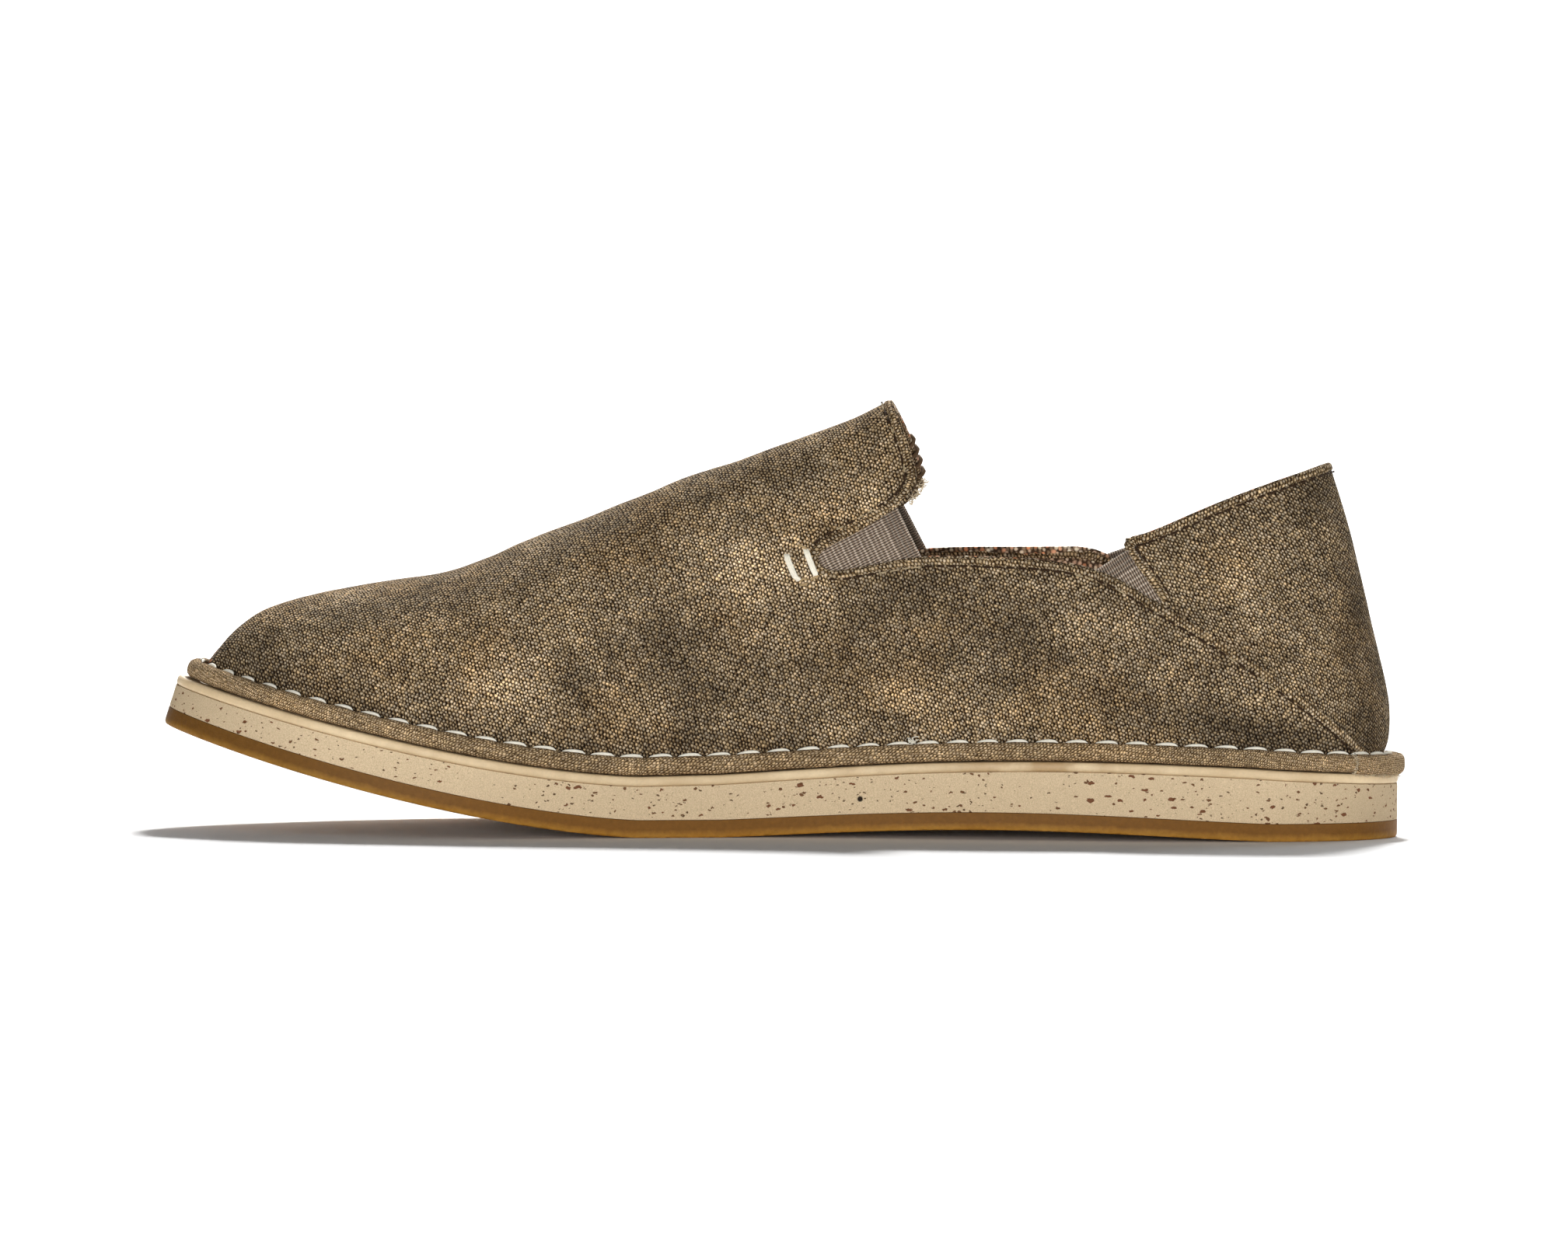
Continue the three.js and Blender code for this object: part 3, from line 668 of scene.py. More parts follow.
# How materials are made
def feed(tree, socket, value):
    """Links a socket to a socket, or sets it to a value."""
    if isinstance(value, bpy.types.NodeSocket):
        tree.links.new(value, socket)
    else:
        socket.default_value = value


def add(tree, kind, ins=None, **settings):
    n = tree.nodes.new(kind)
    for name, value in settings.items():
        setattr(n, name, value)
    for name, value in (ins or {}).items():
        feed(tree, n.inputs[name], value)
    return n


def calc(tree, operation, *values, clamp=False):
    n = tree.nodes.new("ShaderNodeMath")
    n.operation, n.use_clamp = operation, clamp
    for i, value in enumerate(values):
        feed(tree, n.inputs[i], value)
    return n.outputs[0]


def blend(tree, factor, a, b):
    n = add(tree, "ShaderNodeMix", data_type="RGBA")
    for i, value in ((0, factor), (6, a), (7, b)):
        feed(tree, n.inputs[i], value)
    return n.outputs[2]


def span(tree, value, low, high, to_low=0.0, to_high=1.0):
    return add(tree, "ShaderNodeMapRange", {"Value": value, "From Min": low, "From Max": high, "To Min": to_low,
                                            "To Max": to_high}).outputs[0]


def speckle(tree, vector, scale, detail=2.0, rough=.5):
    return add(tree, "ShaderNodeTexNoise", {"Vector": vector, "Scale": scale, "Detail": detail,
                                            "Roughness": rough}).outputs[0]


def stretch(tree, vector, scale, turn=0.0, move=(0, 0, 0)):
    return add(tree, "ShaderNodeMapping", {"Vector": vector, "Scale": scale, "Location": move,
                                           "Rotation": (0, 0, turn)}).outputs[0]


def ink(r, g, b):
    """A colour as the eye reads it, 0 to 255, as the shader wants it."""
    return tuple(((c / 255 + .055) / 1.055) ** 2.4 if c > 10 else c / 255 / 12.92 for c in (r, g, b)) + (1,)


def group(name, ins, outs):
    tree = bpy.data.node_groups.new(name, "ShaderNodeTree")
    for label, kind, value in ins:
        socket = tree.interface.new_socket(label, in_out="INPUT", socket_type="NodeSocket" + kind)
        if value is not None:
            socket.default_value = value
    for label, kind in outs:
        tree.interface.new_socket(label, in_out="OUTPUT", socket_type="NodeSocket" + kind)
    return tree, tree.nodes.new("NodeGroupInput").outputs, tree.nodes.new("NodeGroupOutput").inputs


def vector(tree, operation, *values):
    n = tree.nodes.new("ShaderNodeVectorMath")
    n.operation = operation
    for i, value in enumerate(values):
        feed(tree, n.inputs["Scale" if operation == "SCALE" and i else i], value)
    return n.outputs["Value" if operation in ("LENGTH", "DISTANCE") else "Vector"]


def parts(tree, value):
    return add(tree, "ShaderNodeSeparateXYZ", {0: value}).outputs


def use(tree, made, **ins):
    """Places a node group; underscores in the names stand for spaces."""
    n = tree.nodes.new("ShaderNodeGroup")
    n.node_tree = made
    for name, value in ins.items():
        feed(tree, n.inputs[name.replace("_", " ")], value)
    return n.outputs


def weave_group():
    """A plain weave seen from close by: round weft crowns with duller warp crowns between them."""
    tree, come, go = group("plain weave", (("Cloth", "Vector", None), ("Warp pitch", "Float", .77),
                                           ("Weft pitch", "Float", .533), ("Loose", "Float", .3)),
                           (("Height", "Float"), ("Weft", "Float"), ("Warp", "Float"), ("Bright", "Float"),
                            ("Hue", "Float"), ("Slub", "Float")))
    drift = add(tree, "ShaderNodeTexNoise", {"Vector": come["Cloth"], "Scale": .22, "Detail": 3.0}).outputs["Color"]
    moved = vector(tree, "MULTIPLY_ADD", vector(tree, "SUBTRACT", drift, (.5, .5, .5)), (1.3, 1.1, 0), come["Cloth"])
    x, y, _ = parts(tree, moved)
    p, q = calc(tree, "DIVIDE", x, come["Warp pitch"]), calc(tree, "DIVIDE", y, come["Weft pitch"])
    # Weft crowns stand on every other crossing, so they lie on the diagonals; the warp's stand on the rest
    cell = add(tree, "ShaderNodeCombineXYZ", {0: calc(tree, "MULTIPLY", calc(tree, "ADD", p, q), .5),
                                              1: calc(tree, "MULTIPLY", calc(tree, "SUBTRACT", p, q), .5)}).outputs[0]
    heights = []
    for offset, wide, tall in ((0, .56, .80), (.5, .5, .9)):
        here = vector(tree, "ADD", cell, (offset, offset, 0))
        crowns = add(tree, "ShaderNodeTexVoronoi", {"Vector": here, "Scale": 1.0, "Randomness": come["Loose"]},
                     voronoi_dimensions="2D").outputs
        a, b, _ = parts(tree, vector(tree, "SUBTRACT", here, crowns["Position"]))
        size, bright, hue = parts(tree, crowns["Color"])
        far = vector(tree, "LENGTH", add(tree, "ShaderNodeCombineXYZ", {
            0: calc(tree, "DIVIDE", calc(tree, "ADD", a, b), wide),
            1: calc(tree, "DIVIDE", calc(tree, "SUBTRACT", a, b), tall)}).outputs[0])
        far = calc(tree, "DIVIDE", far, span(tree, size, 0, 1, .84, 1.16))
        heights.append(calc(tree, "SUBTRACT", 1.0, calc(tree, "MULTIPLY", far, far), clamp=True))
        if not offset:
            tree.links.new(bright, go["Bright"])
            tree.links.new(hue, go["Hue"])
    tree.links.new(heights[0], go["Weft"])
    tree.links.new(heights[1], go["Warp"])
    tree.links.new(calc(tree, "MAXIMUM", heights[0], calc(tree, "MULTIPLY", heights[1], .7)), go["Height"])
    tree.links.new(speckle(tree, stretch(tree, moved, (.12, 1.9, 1)), 1.0), go["Slub"])
    return tree


def blotch_group():
    """Faded, waxed and yellowed patches of washed cloth."""
    tree, come, go = group("washed blotches", (("Vector", "Vector", None), ("Scale", "Float", 1.0)),
                           (("Dark", "Float"), ("Faded", "Float"), ("Warm", "Float"), ("Fine", "Float")))
    for label, size, detail, rough, move, low, high in (
            ("Dark", 60, 5, .62, 0, .44, .68), ("Faded", 85, 5, .66, 3, .46, .68), ("Warm", 45, 4, .6, 8, .46, .64),
            ("Fine", 420, 3, .6, 5, .25, .75)):
        moved = stretch(tree, come["Vector"], (1, 1, 1.25), 0, (move, move / 2, move / 3))
        tree.links.new(span(tree, speckle(tree, moved, calc(tree, "MULTIPLY", come["Scale"], size), detail, rough),
                            low, high), go[label])
    return tree


def grain_group():
    """A fine even grain, and slow cloudy changes in it."""
    tree, come, go = group("fine grain", (("Vector", "Vector", None), ("Scale", "Float", 1000.0)),
                           (("Grain", "Float"), ("Cloud", "Float")))
    tree.links.new(span(tree, speckle(tree, come["Vector"], come["Scale"], 2.0, .6), .3, .7), go["Grain"])
    tree.links.new(span(tree, speckle(tree, come["Vector"], calc(tree, "MULTIPLY", come["Scale"], .045), 3.0, .6),
                        .35, .65), go["Cloud"])
    return tree


WEAVE, BLOTCH, GRAIN = weave_group(), blotch_group(), grain_group()


def surface(name, rough=.8, **sockets):
    mat = bpy.data.materials.new(name)
    mat.use_nodes = True
    tree = mat.node_tree
    tree.nodes.clear()
    shader = add(tree, "ShaderNodeBsdfPrincipled", {"Roughness": rough, **sockets})
    tree.links.new(shader.outputs[0], add(tree, "ShaderNodeOutputMaterial").inputs[0])
    return mat, tree, shader.inputs


def bump(tree, ins, height, strength, distance):
    tree.links.new(add(tree, "ShaderNodeBump", {"Height": height, "Strength": strength,
                                                "Distance": distance}).outputs[0], ins["Normal"])


def in_object(tree):
    return add(tree, "ShaderNodeTexCoord").outputs["Object"]


def own(tree, label):
    return add(tree, "ShaderNodeAttribute", attribute_name=label).outputs["Fac"]


def canvas(name, gap, warp_tone, yellow, grey, turn=0.0, warp=.77, weft=.533, loose=.3, patches=1.0, tone=1.0):
    """Washed and waxed canvas: light weft crowns and duller warp over dark gaps, in faded and dark patches.
    turn is the threads' direction, warp and weft their pitches in millimetres, tone how bright the whole is."""
    mat, tree, ins = surface(name, .95)
    ins["Specular IOR Level"].default_value = .08
    cloth = add(tree, "ShaderNodeUVMap").outputs[0]
    weave = use(tree, WEAVE, Cloth=stretch(tree, cloth, (1, 1, 1), turn), Warp_pitch=warp, Weft_pitch=weft, Loose=loose)
    wash = use(tree, BLOTCH, Vector=in_object(tree), Scale=1.0)
    crown = blend(tree, span(tree, weave["Hue"], .25, .75), yellow, grey)
    crown = vector(tree, "SCALE", crown, span(tree, calc(tree, "POWER", weave["Bright"], 1.5), 0, 1, .74, 1.42))
    # Painted shade and light of the weave's relief: dark in the gaps between the threads, lighter towards the middle of
    # each crown.
    colour = blend(tree, span(tree, weave["Warp"], .3, .95), gap, warp_tone)
    colour = blend(tree, span(tree, weave["Weft"], .18, .92), colour, crown)
    colour = blend(tree, calc(tree, "MULTIPLY", wash["Warm"], .35 * patches), colour,
                   vector(tree, "MULTIPLY", colour, (1.12, .94, .68)))
    # The wash attribute darkens or pales the canvas by the listed patches: wear, and painted light on the top of the
    # vamp.
    power = calc(tree, "MULTIPLY_ADD", own(tree, "wash"), .95, math.log2(tone) - .25 - .25 * patches)
    for value, strength in ((wash["Dark"], -.78 * patches), (wash["Faded"], .5 * patches), (weave["Slub"], .5),
                            (wash["Fine"], .7 * patches)):
        power = calc(tree, "MULTIPLY_ADD", value, strength, power)
    tree.links.new(vector(tree, "SCALE", colour, calc(tree, "POWER", 2.0, power)), ins["Base Color"])
    height = calc(tree, "MULTIPLY_ADD", wash["Fine"], .3, weave["Height"])
    bump(tree, ins, height, .7, .00022)
    return mat


GAPS_AND_WARP, WEFTS = (ink(30, 20, 11), ink(102, 81, 56)), (ink(200, 174, 135), ink(194, 175, 147))
canvas_body = canvas("washed canvas", *GAPS_AND_WARP, *WEFTS, warp=.72, weft=.51, tone=.97)
canvas_heel = canvas("washed canvas of the heel", *GAPS_AND_WARP, *WEFTS, warp=.7, weft=.50, tone=.84)
canvas_hem = canvas("folded canvas", ink(44, 31, 18), ink(108, 86, 58), *WEFTS, turn=.6, warp=.7, weft=.52, patches=.5,
                    tone=1.02)
canvas_binding = canvas("binding canvas", ink(62, 47, 30), ink(120, 98, 70), ink(186, 160, 122), ink(176, 154, 124),
                        turn=.75, warp=.5, weft=.4, patches=.5, tone=1.38)
lining = canvas("woven lining", ink(52, 40, 30), ink(112, 94, 76), ink(164, 112, 82), ink(176, 166, 148),
                warp=1.2, weft=.9, loose=.6, tone=2.1)
footbed = canvas("footbed cloth", ink(96, 80, 58), ink(130, 110, 82), ink(168, 146, 112), ink(160, 144, 118),
                 warp=.6, weft=.5, patches=.5)


def thread(name, colour, rough=.7):
    """Twisted sewing thread."""
    mat, tree, ins = surface(name, rough)
    ins["Specular IOR Level"].default_value = .12
    grain = use(tree, GRAIN, Vector=in_object(tree), Scale=2600.0)
    shade = blend(tree, grain["Grain"], tuple(c * .88 for c in colour[:3]) + (1,), colour)
    tree.links.new(shade, ins["Base Color"])
    bump(tree, ins, grain["Grain"], .5, .00012)
    return mat


thread_brown = thread("dark brown thread", ink(54, 38, 24))
thread_pale = thread("pale hem thread", ink(176, 158, 126))
thread_cream = thread("cream thread", ink(255, 250, 234), .65)
thread_white = thread("bar tack thread", ink(255, 248, 230), .6)
thread_tan = thread("tan thread", ink(178, 152, 112))
thread_fray = thread("frayed canvas thread", ink(206, 188, 158))
thread_dull = thread("whipping thread", ink(120, 97, 72))


def gum_rubber():
    """Brown gum rubber, honey-coloured towards its lower edge; painted shade darkens it towards the toe, where it turns
    away from the light.
    """
    mat, tree, ins = surface("gum rubber", .55)
    ins["Specular IOR Level"].default_value = .14
    place = in_object(tree)
    grain = use(tree, GRAIN, Vector=place, Scale=900.0)
    ragged = calc(tree, "MULTIPLY_ADD", speckle(tree, place, 330.0, 4.0, .65), 1.6, own(tree, "up"))
    honey, brown = blend(tree, grain["Cloud"], ink(160, 110, 38), ink(172, 126, 54)), ink(122, 82, 32)
    colour = blend(tree, span(tree, ragged, 1.2, 2.8), honey, brown)
    # Painted shade: the rubber darkens towards the toe, where it turns away from the light.
    toe = span(tree, parts(tree, place)[0], -.07, -.15)
    colour = blend(tree, calc(tree, "MULTIPLY", toe, .6), colour, vector(tree, "MULTIPLY", colour, (.5, .52, .55)))
    colour = vector(tree, "SCALE", colour, span(tree, grain["Grain"], 0, 1, .9, 1.08))
    tree.links.new(colour, ins["Base Color"])
    pits = calc(tree, "MULTIPLY", speckle(tree, place, 1300.0, 3.0, .7), span(tree, ragged, 2.2, 1.0))
    bump(tree, ins, calc(tree, "MULTIPLY_ADD", pits, 3.0, grain["Grain"]), .5, .00012)
    return mat


def flecked_foam():
    """Cream foam with a sandy grain, rust-coloured flecks in loose clusters and one pinhole, darkened there with
    painted shade; painted shade also darkens the toe and heel ends.
    """
    mat, tree, ins = surface("flecked foam", .9)
    ins["Specular IOR Level"].default_value = .2
    place = in_object(tree)
    grain = use(tree, GRAIN, Vector=place, Scale=3800.0)
    x = parts(tree, place)[0]
    colour = blend(tree, grain["Grain"], ink(196, 173, 138), ink(230, 207, 172))
    # Painted shade: the foam darkens towards the toe and the heel, where it turns away from the light.
    ends = calc(tree, "MAXIMUM", span(tree, x, -.11, -.155), span(tree, x, .12, .155))
    colour = blend(tree, calc(tree, "MULTIPLY", ends, .4), colour, ink(140, 122, 96))
    wobble = add(tree, "ShaderNodeTexNoise", {"Vector": place, "Scale": 900.0, "Detail": 2.0}).outputs["Color"]
    bent = vector(tree, "MULTIPLY_ADD", vector(tree, "SUBTRACT", wobble, (.5, .5, .5)), (.0012, .0012, .0012), place)
    crowd = span(tree, speckle(tree, stretch(tree, place, (1, 1, 1), 0, (4, 1, 2)), 90.0), .36, .6, .35, 1)
    for move, pitch, least, most, share, tint in ((1, 470.0, .09, .27, .8, ink(104, 54, 26)),
                                                  (2, 690.0, .1, .29, .75, ink(98, 58, 30)),
                                                  (3, 1000.0, .1, .28, .7, ink(84, 58, 36))):
        spots = add(tree, "ShaderNodeTexVoronoi", {"Vector": stretch(tree, bent, (.62, .62, 1.2), 0, (0, 0, move)),
                                                   "Scale": pitch}).outputs
        pick, wide, _ = parts(tree, spots["Color"])
        radius = calc(tree, "MULTIPLY", span(tree, calc(tree, "POWER", wide, 1.6), 0, 1, least, most),
                      calc(tree, "LESS_THAN", pick, calc(tree, "MULTIPLY", crowd, share)))
        mask = span(tree, calc(tree, "SUBTRACT", radius, spots["Distance"]), -.01, .03)
        colour = blend(tree, calc(tree, "MULTIPLY", mask, .92), colour, tint)
    # Painted shade: a dark spot for the shade inside the pinhole.
    hole = placed(Vector((20.9, -31.7, 9.6)))
    near = span(tree, vector(tree, "DISTANCE", place, tuple(hole)), .00085, .0006)
    colour = blend(tree, near, colour, ink(40, 30, 22))
    tree.links.new(colour, ins["Base Color"])
    bump(tree, ins, calc(tree, "SUBTRACT", grain["Grain"], calc(tree, "MULTIPLY", near, 4.0)), .5, .00012)
    return mat


def runner_leather():
    """The smooth cream band over the foam, tanned in places."""
    mat, tree, ins = surface("runner band", .52)
    place = in_object(tree)
    grain = use(tree, GRAIN, Vector=place, Scale=1500.0)
    colour = blend(tree, grain["Cloud"], ink(208, 181, 140), ink(230, 206, 166))
    from_heel = calc(tree, "ABSOLUTE", calc(tree, "SUBTRACT", parts(tree, place)[0], .066))
    tanned = calc(tree, "MULTIPLY", span(tree, from_heel, .03, .012),
                  span(tree, speckle(tree, place, 120.0, 3.0, .6), .35, .6))
    colour = blend(tree, calc(tree, "MULTIPLY", tanned, .75), colour, ink(176, 142, 96))
    tree.links.new(vector(tree, "SCALE", colour, span(tree, grain["Grain"], 0, 1, .95, 1.03)), ins["Base Color"])
    bump(tree, ins, grain["Grain"], .35, .00008)
    return mat


def elastic_web():
    """Ribbed elastic: fine cords with pale ties across them. Its map runs along the cords and across them."""
    mat, tree, ins = surface("elastic", .8)
    x, y, _ = parts(tree, add(tree, "ShaderNodeUVMap").outputs[0])
    wave = speckle(tree, add(tree, "ShaderNodeUVMap").outputs[0], .5, 2.0)
    rib = calc(tree, "ABSOLUTE", calc(tree, "SINE", calc(tree, "MULTIPLY", calc(tree, "MULTIPLY_ADD", wave, .35, y),
                                                         math.pi / .6)))
    tie = calc(tree, "FRACT", calc(tree, "DIVIDE", calc(tree, "MULTIPLY_ADD", wave, .6, x), 1.15))
    tie = span(tree, calc(tree, "ABSOLUTE", calc(tree, "SUBTRACT", tie, .5)), .3, .12)
    strong = span(tree, calc(tree, "SINE", calc(tree, "MULTIPLY", x, math.pi / 1.15)), -1, 1, .45, 1)
    # Painted shade and light of the ribs: dark in the troughs between the cords, paler on their crowns.
    colour = blend(tree, span(tree, rib, .35, .8), ink(30, 21, 15), ink(156, 133, 112))
    pale = calc(tree, "MULTIPLY", calc(tree, "MULTIPLY", tie, strong), span(tree, rib, .35, .8, .12, .9))
    colour = blend(tree, pale, colour, ink(228, 211, 190))
    tree.links.new(vector(tree, "SCALE", colour, span(tree, own(tree, "shade"), 0, 1, 1, .3)), ins["Base Color"])
    bump(tree, ins, calc(tree, "MULTIPLY_ADD", tie, .3, rib), .8, .0002)
    return mat


gum, foam, band, elastic = gum_rubber(), flecked_foam(), runner_leather(), elastic_web()


# The soft upper: one form for the canvas, cut into the body and the heel panel
cloth_form = upper_form(0, 1.0)
CLOTH = BVHTree.FromBMesh(cloth_form)
THREAD_RISE = math.radians(16)
BODY_CLOTH, HEEL_CLOTH, LINING_CLOTH, LAP_CLOTH = 1.5, .8, .8, .5
THROAT_X, HEEL_PANEL_X = -8, 58


def body_cloth(bm):
    """Lays the body's canvas flat with its threads rising towards the instep. The map folds over the ridge
    in front of the throat; behind it the lateral side keeps the ridge's last values."""
    fore, over, top, top_fore, step, foot = (bm.verts.layers.float[n] for n in (
        "fore", "over", "top", "top_fore", "step", "foot"))
    c, t = math.cos(THREAD_RISE), math.tan(THREAD_RISE)
    near = [v for v in bm.verts if abs(v.co.x / MM - SHIFT.x - THROAT_X) < 2 and v.co.y > 0]
    held = [sum(v[k] for v in near) / len(near) for k in (top, top_fore, step)]

    def cloth(v):
        p = v.co / MM - SHIFT
        up = v[over] + v[foot]
        x, lateral = -v[fore], p.y > .6
        high, ridge, more = (v[top], v[top_fore], v[step]) if p.x < THROAT_X else held
        if not lateral:
            return c * (x + up * t), c * (up - x * t)
        return c * (x + (up + more) * t), c * (2 * (high + ridge * t) - (up - x * t) + more)

    lay_cloth(bm, cloth)


def heel_cloth(bm):
    """Lays the heel's canvas flat with its threads level at the back and rising towards it at the sides."""
    along, over = (bm.verts.layers.float[n] for n in ("along", "over"))

    def cloth(v):
        far = v[along] if v.co.y < .0006 else -v[along]
        return 1.04 * far - .003 * far * v[over], 1.04 * v[over] + .0035 * far * far

    lay_cloth(bm, cloth)


def wall(bm, name, material, thick, offset=-1):
    """Gives a sheet a thickness in millimetres: inwards, or outwards with an offset of 1."""
    piece = finish_mesh(bm, name, material)
    solid = piece.modifiers.new("wall", "SOLIDIFY")
    solid.thickness, solid.offset, solid.use_rim = thick * MM, offset, True
    return piece


body_bm = cloth_form.copy()
body_cloth(body_bm)
cut_away(body_bm, OPENING)
cut_away(body_bm, region_of(behind_seam))
paint_wear_and_light(body_bm)
body_run = max(rim_paths(body_bm), key=len)
body = wall(body_bm, "canvas_body", canvas_body, BODY_CLOTH)
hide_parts("upper")

heel_bm = cloth_form.copy()
bmesh.ops.delete(heel_bm, geom=[v for v in heel_bm.verts if v.co.x / MM - SHIFT.x < HEEL_PANEL_X], context="VERTS")
for v in heel_bm.verts:
    v.co -= v.normal * SEAM_LAP * MM
heel_bm.normal_update()
heel_cloth(heel_bm)
HEEL = BVHTree.FromBMesh(heel_bm)
cut_away(heel_bm, OPENING)


def before_seam(side):
    """What lies so far before the lap seam that the body hides it."""
    line = [(x - 6, z) for x, z in smooth_line(quarter_line(side), 90)]
    return [(-200, -60)] + [(-200, line[0][1])] + line + [(line[-1][0] + 10, -60)]


cut_away(heel_bm, region_of(before_seam))
paint_wear_and_light(heel_bm)
heel_run = max(rim_paths(heel_bm), key=len)
heel = wall(heel_bm, "heel_panel", canvas_heel, HEEL_CLOTH)

body_edge = edge_on(CLOTH, even(body_run, .9), OPENING)
heel_edge = edge_on(HEEL, even(heel_run, .9), OPENING)


def visible_span(edge, region, inside):
    """The shares of an edge at which it first and last lies inside (or outside) a side-view region."""
    places = [i / 400 for i in range(401)]
    depth = depth_of([edge.at(s)[0] for s in places], region)
    kept = [s for s, d in zip(places, depth) if (d > 0) == inside]
    return min(kept), max(kept)


def seam_ease(edge):
    """How thick the wall under the body's hem is: thin over the heel panel, whole at the openings."""
    def depth(share):
        p = edge.at(share)[0] / MM - SHIFT
        below = max(0.0, min(1.0, (p.x - NOTCH[0] + 4) / 5)) if p.z < NOTCH[1] + 3 else 0.0
        return UPPER_WALL - (UPPER_WALL - .75) * below
    return depth


body_hem = hem("hem_body", body_edge, seam_ease(body_edge), canvas_hem)
collar_edge = heel_edge.part(*visible_span(heel_edge, region_of(behind_seam, 1.0), True))
heel_hem = hem("hem_heel", collar_edge, lambda s: UPPER_WALL - SEAM_LAP, canvas_hem)


def pale(share, n):
    """Here and there the bobbin thread shows pale, most of all round the throat."""
    p = body_edge.at(share)[0] / MM - SHIFT
    return noise.noise(Vector((n * .53, 9.2, 1.7))) > (.12 if p.z > INSTEP_HEIGHT * .72 else .34)


threads("hem_stitches", stitch_places(body_edge, 2.45, .5, keep=lambda s, n: not pale(s, n))
        + stitch_places(collar_edge, 2.45, .5), thread_brown, 2.3, .6)
threads("hem_stitches_pale", stitch_places(body_edge, 2.5, .3, keep=pale), thread_pale, 2.2, .4)

# The lining and the footbed inside
lining_bm = upper_form(UPPER_WALL, 0, 180, 44)
body_cloth(lining_bm)
cut_away(lining_bm, OPENING)
wall(lining_bm, "lining", lining, LINING_CLOTH, 1)


# The elastic gores
FOLD_PITCH = 1.25


def surface_at(x, z, side):
    """The canvas form at a side-view point, and which way it faces there."""
    start = placed(Vector((x, side * 200, z)))
    hit, normal, *_ = CLOTH.ray_cast(start, Vector((0, -side, 0)))
    if normal.y * side < 0:
        normal = -normal
    return hit, normal


def gore(name, low_line, high_line, side, rise, fold_rise):
    """An elastic between two canvas edges, from their notch to its free edge, where it is folded over.
    rise is the direction of its cords in degrees, fold_rise that of its free edge."""
    end, tip = low_line(1), high_line(1)
    run = math.hypot(tip[0] - end[0], tip[1] - end[1])

    def from_edge(x, z):
        return abs((x - end[0]) * (tip[1] - end[1]) - (z - end[1]) * (tip[0] - end[0])) / run

    def between(u, v):
        a, b = low_line(u ** .8), high_line(u ** .8)
        return a[0] + (b[0] - a[0]) * v, a[1] + (b[1] - a[1]) * v

    def place(u, v):
        x, z = between(u, v)
        hit, normal = surface_at(x, z, side)
        free = from_edge(x, z)
        fold = abs(math.sin(math.pi * free / FOLD_PITCH)) ** .6 * .42 if free < 3 * FOLD_PITCH else 0
        return hit + normal * (fold - GORE_RECESS) * MM

    bm = grid(int(130 * FINE), int(28 * FINE), place)
    us, vs = shares(bm)
    shade = bm.verts.layers.float.new("shade")
    for v in bm.verts:
        free = from_edge(*between(v[us], v[vs]))
        groove = 1 - abs(math.sin(math.pi * free / FOLD_PITCH)) ** .5 if .4 < free < 4.2 else 0
        v[shade] = min(1, .15 + .75 * math.exp(-(1 - v[vs]) * 6) + groove)
    face_out(bm, lambda f: f.normal.y * side)
    c, s = math.cos(math.radians(rise)), math.sin(math.radians(rise))
    slant = abs(math.sin(math.radians(fold_rise - rise)))

    def cloth(v):
        p = v.co / MM - SHIFT
        return from_edge(p.x, p.z), (p.z * c - p.x * s) / slant * .98

    lay_cloth(bm, cloth)
    return wall(bm, name, elastic, GORE_THICKNESS)


def along_line(points, u):
    """The point at a share of a side-view line."""
    s = u * (len(points) - 1)
    k = min(int(s), len(points) - 2)
    t = s - k
    return tuple(points[k][a] + (points[k + 1][a] - points[k][a]) * t for a in (0, 1))


def front_lines():
    low = [(x_at(.4735), throat_z(-.06))] + [(x_at(a), h * COLLAR_HEIGHT) for a, h in (
        (.458, .92), (.42, .93), (.3795, .955))]
    high = [(x_at(a), throat_z(h)) for a, h in ((.4735, -.04), (.466, .12), (.4415, .22), (.412, .42))]
    return smooth_line(low, 40), smooth_line(high, 40)


def rear_lines(side):
    under = [(x_at(a), h * COLLAR_HEIGHT - 3.5) for a, h in zip(QUARTER["at"], QUARTER[side]) if .2 < a < .27]
    low = [(NOTCH[0] + 4, NOTCH[1] - 6)] + under[::-1]
    high = [(NOTCH[0] + 4, NOTCH[1] - 5)] + [(x + 3, z) for x, z in heel_line(HEEL_FRONT, side)[1:]]
    return smooth_line(low, 40), smooth_line(high, 40)


for side, label in ((-1, "medial"), (1, "lateral")):
    for place_name, (low_points, high_points), rise, fold_rise in (
            ("front", front_lines(), 27, -58), ("rear", rear_lines(label), -60, 20)):
        made = gore(f"gore_{place_name}_{label}", lambda u: along_line(low_points, u),
                    lambda u: along_line(high_points, u), side, rise, fold_rise)
        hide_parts(f"{place_name}_gore_{label}")


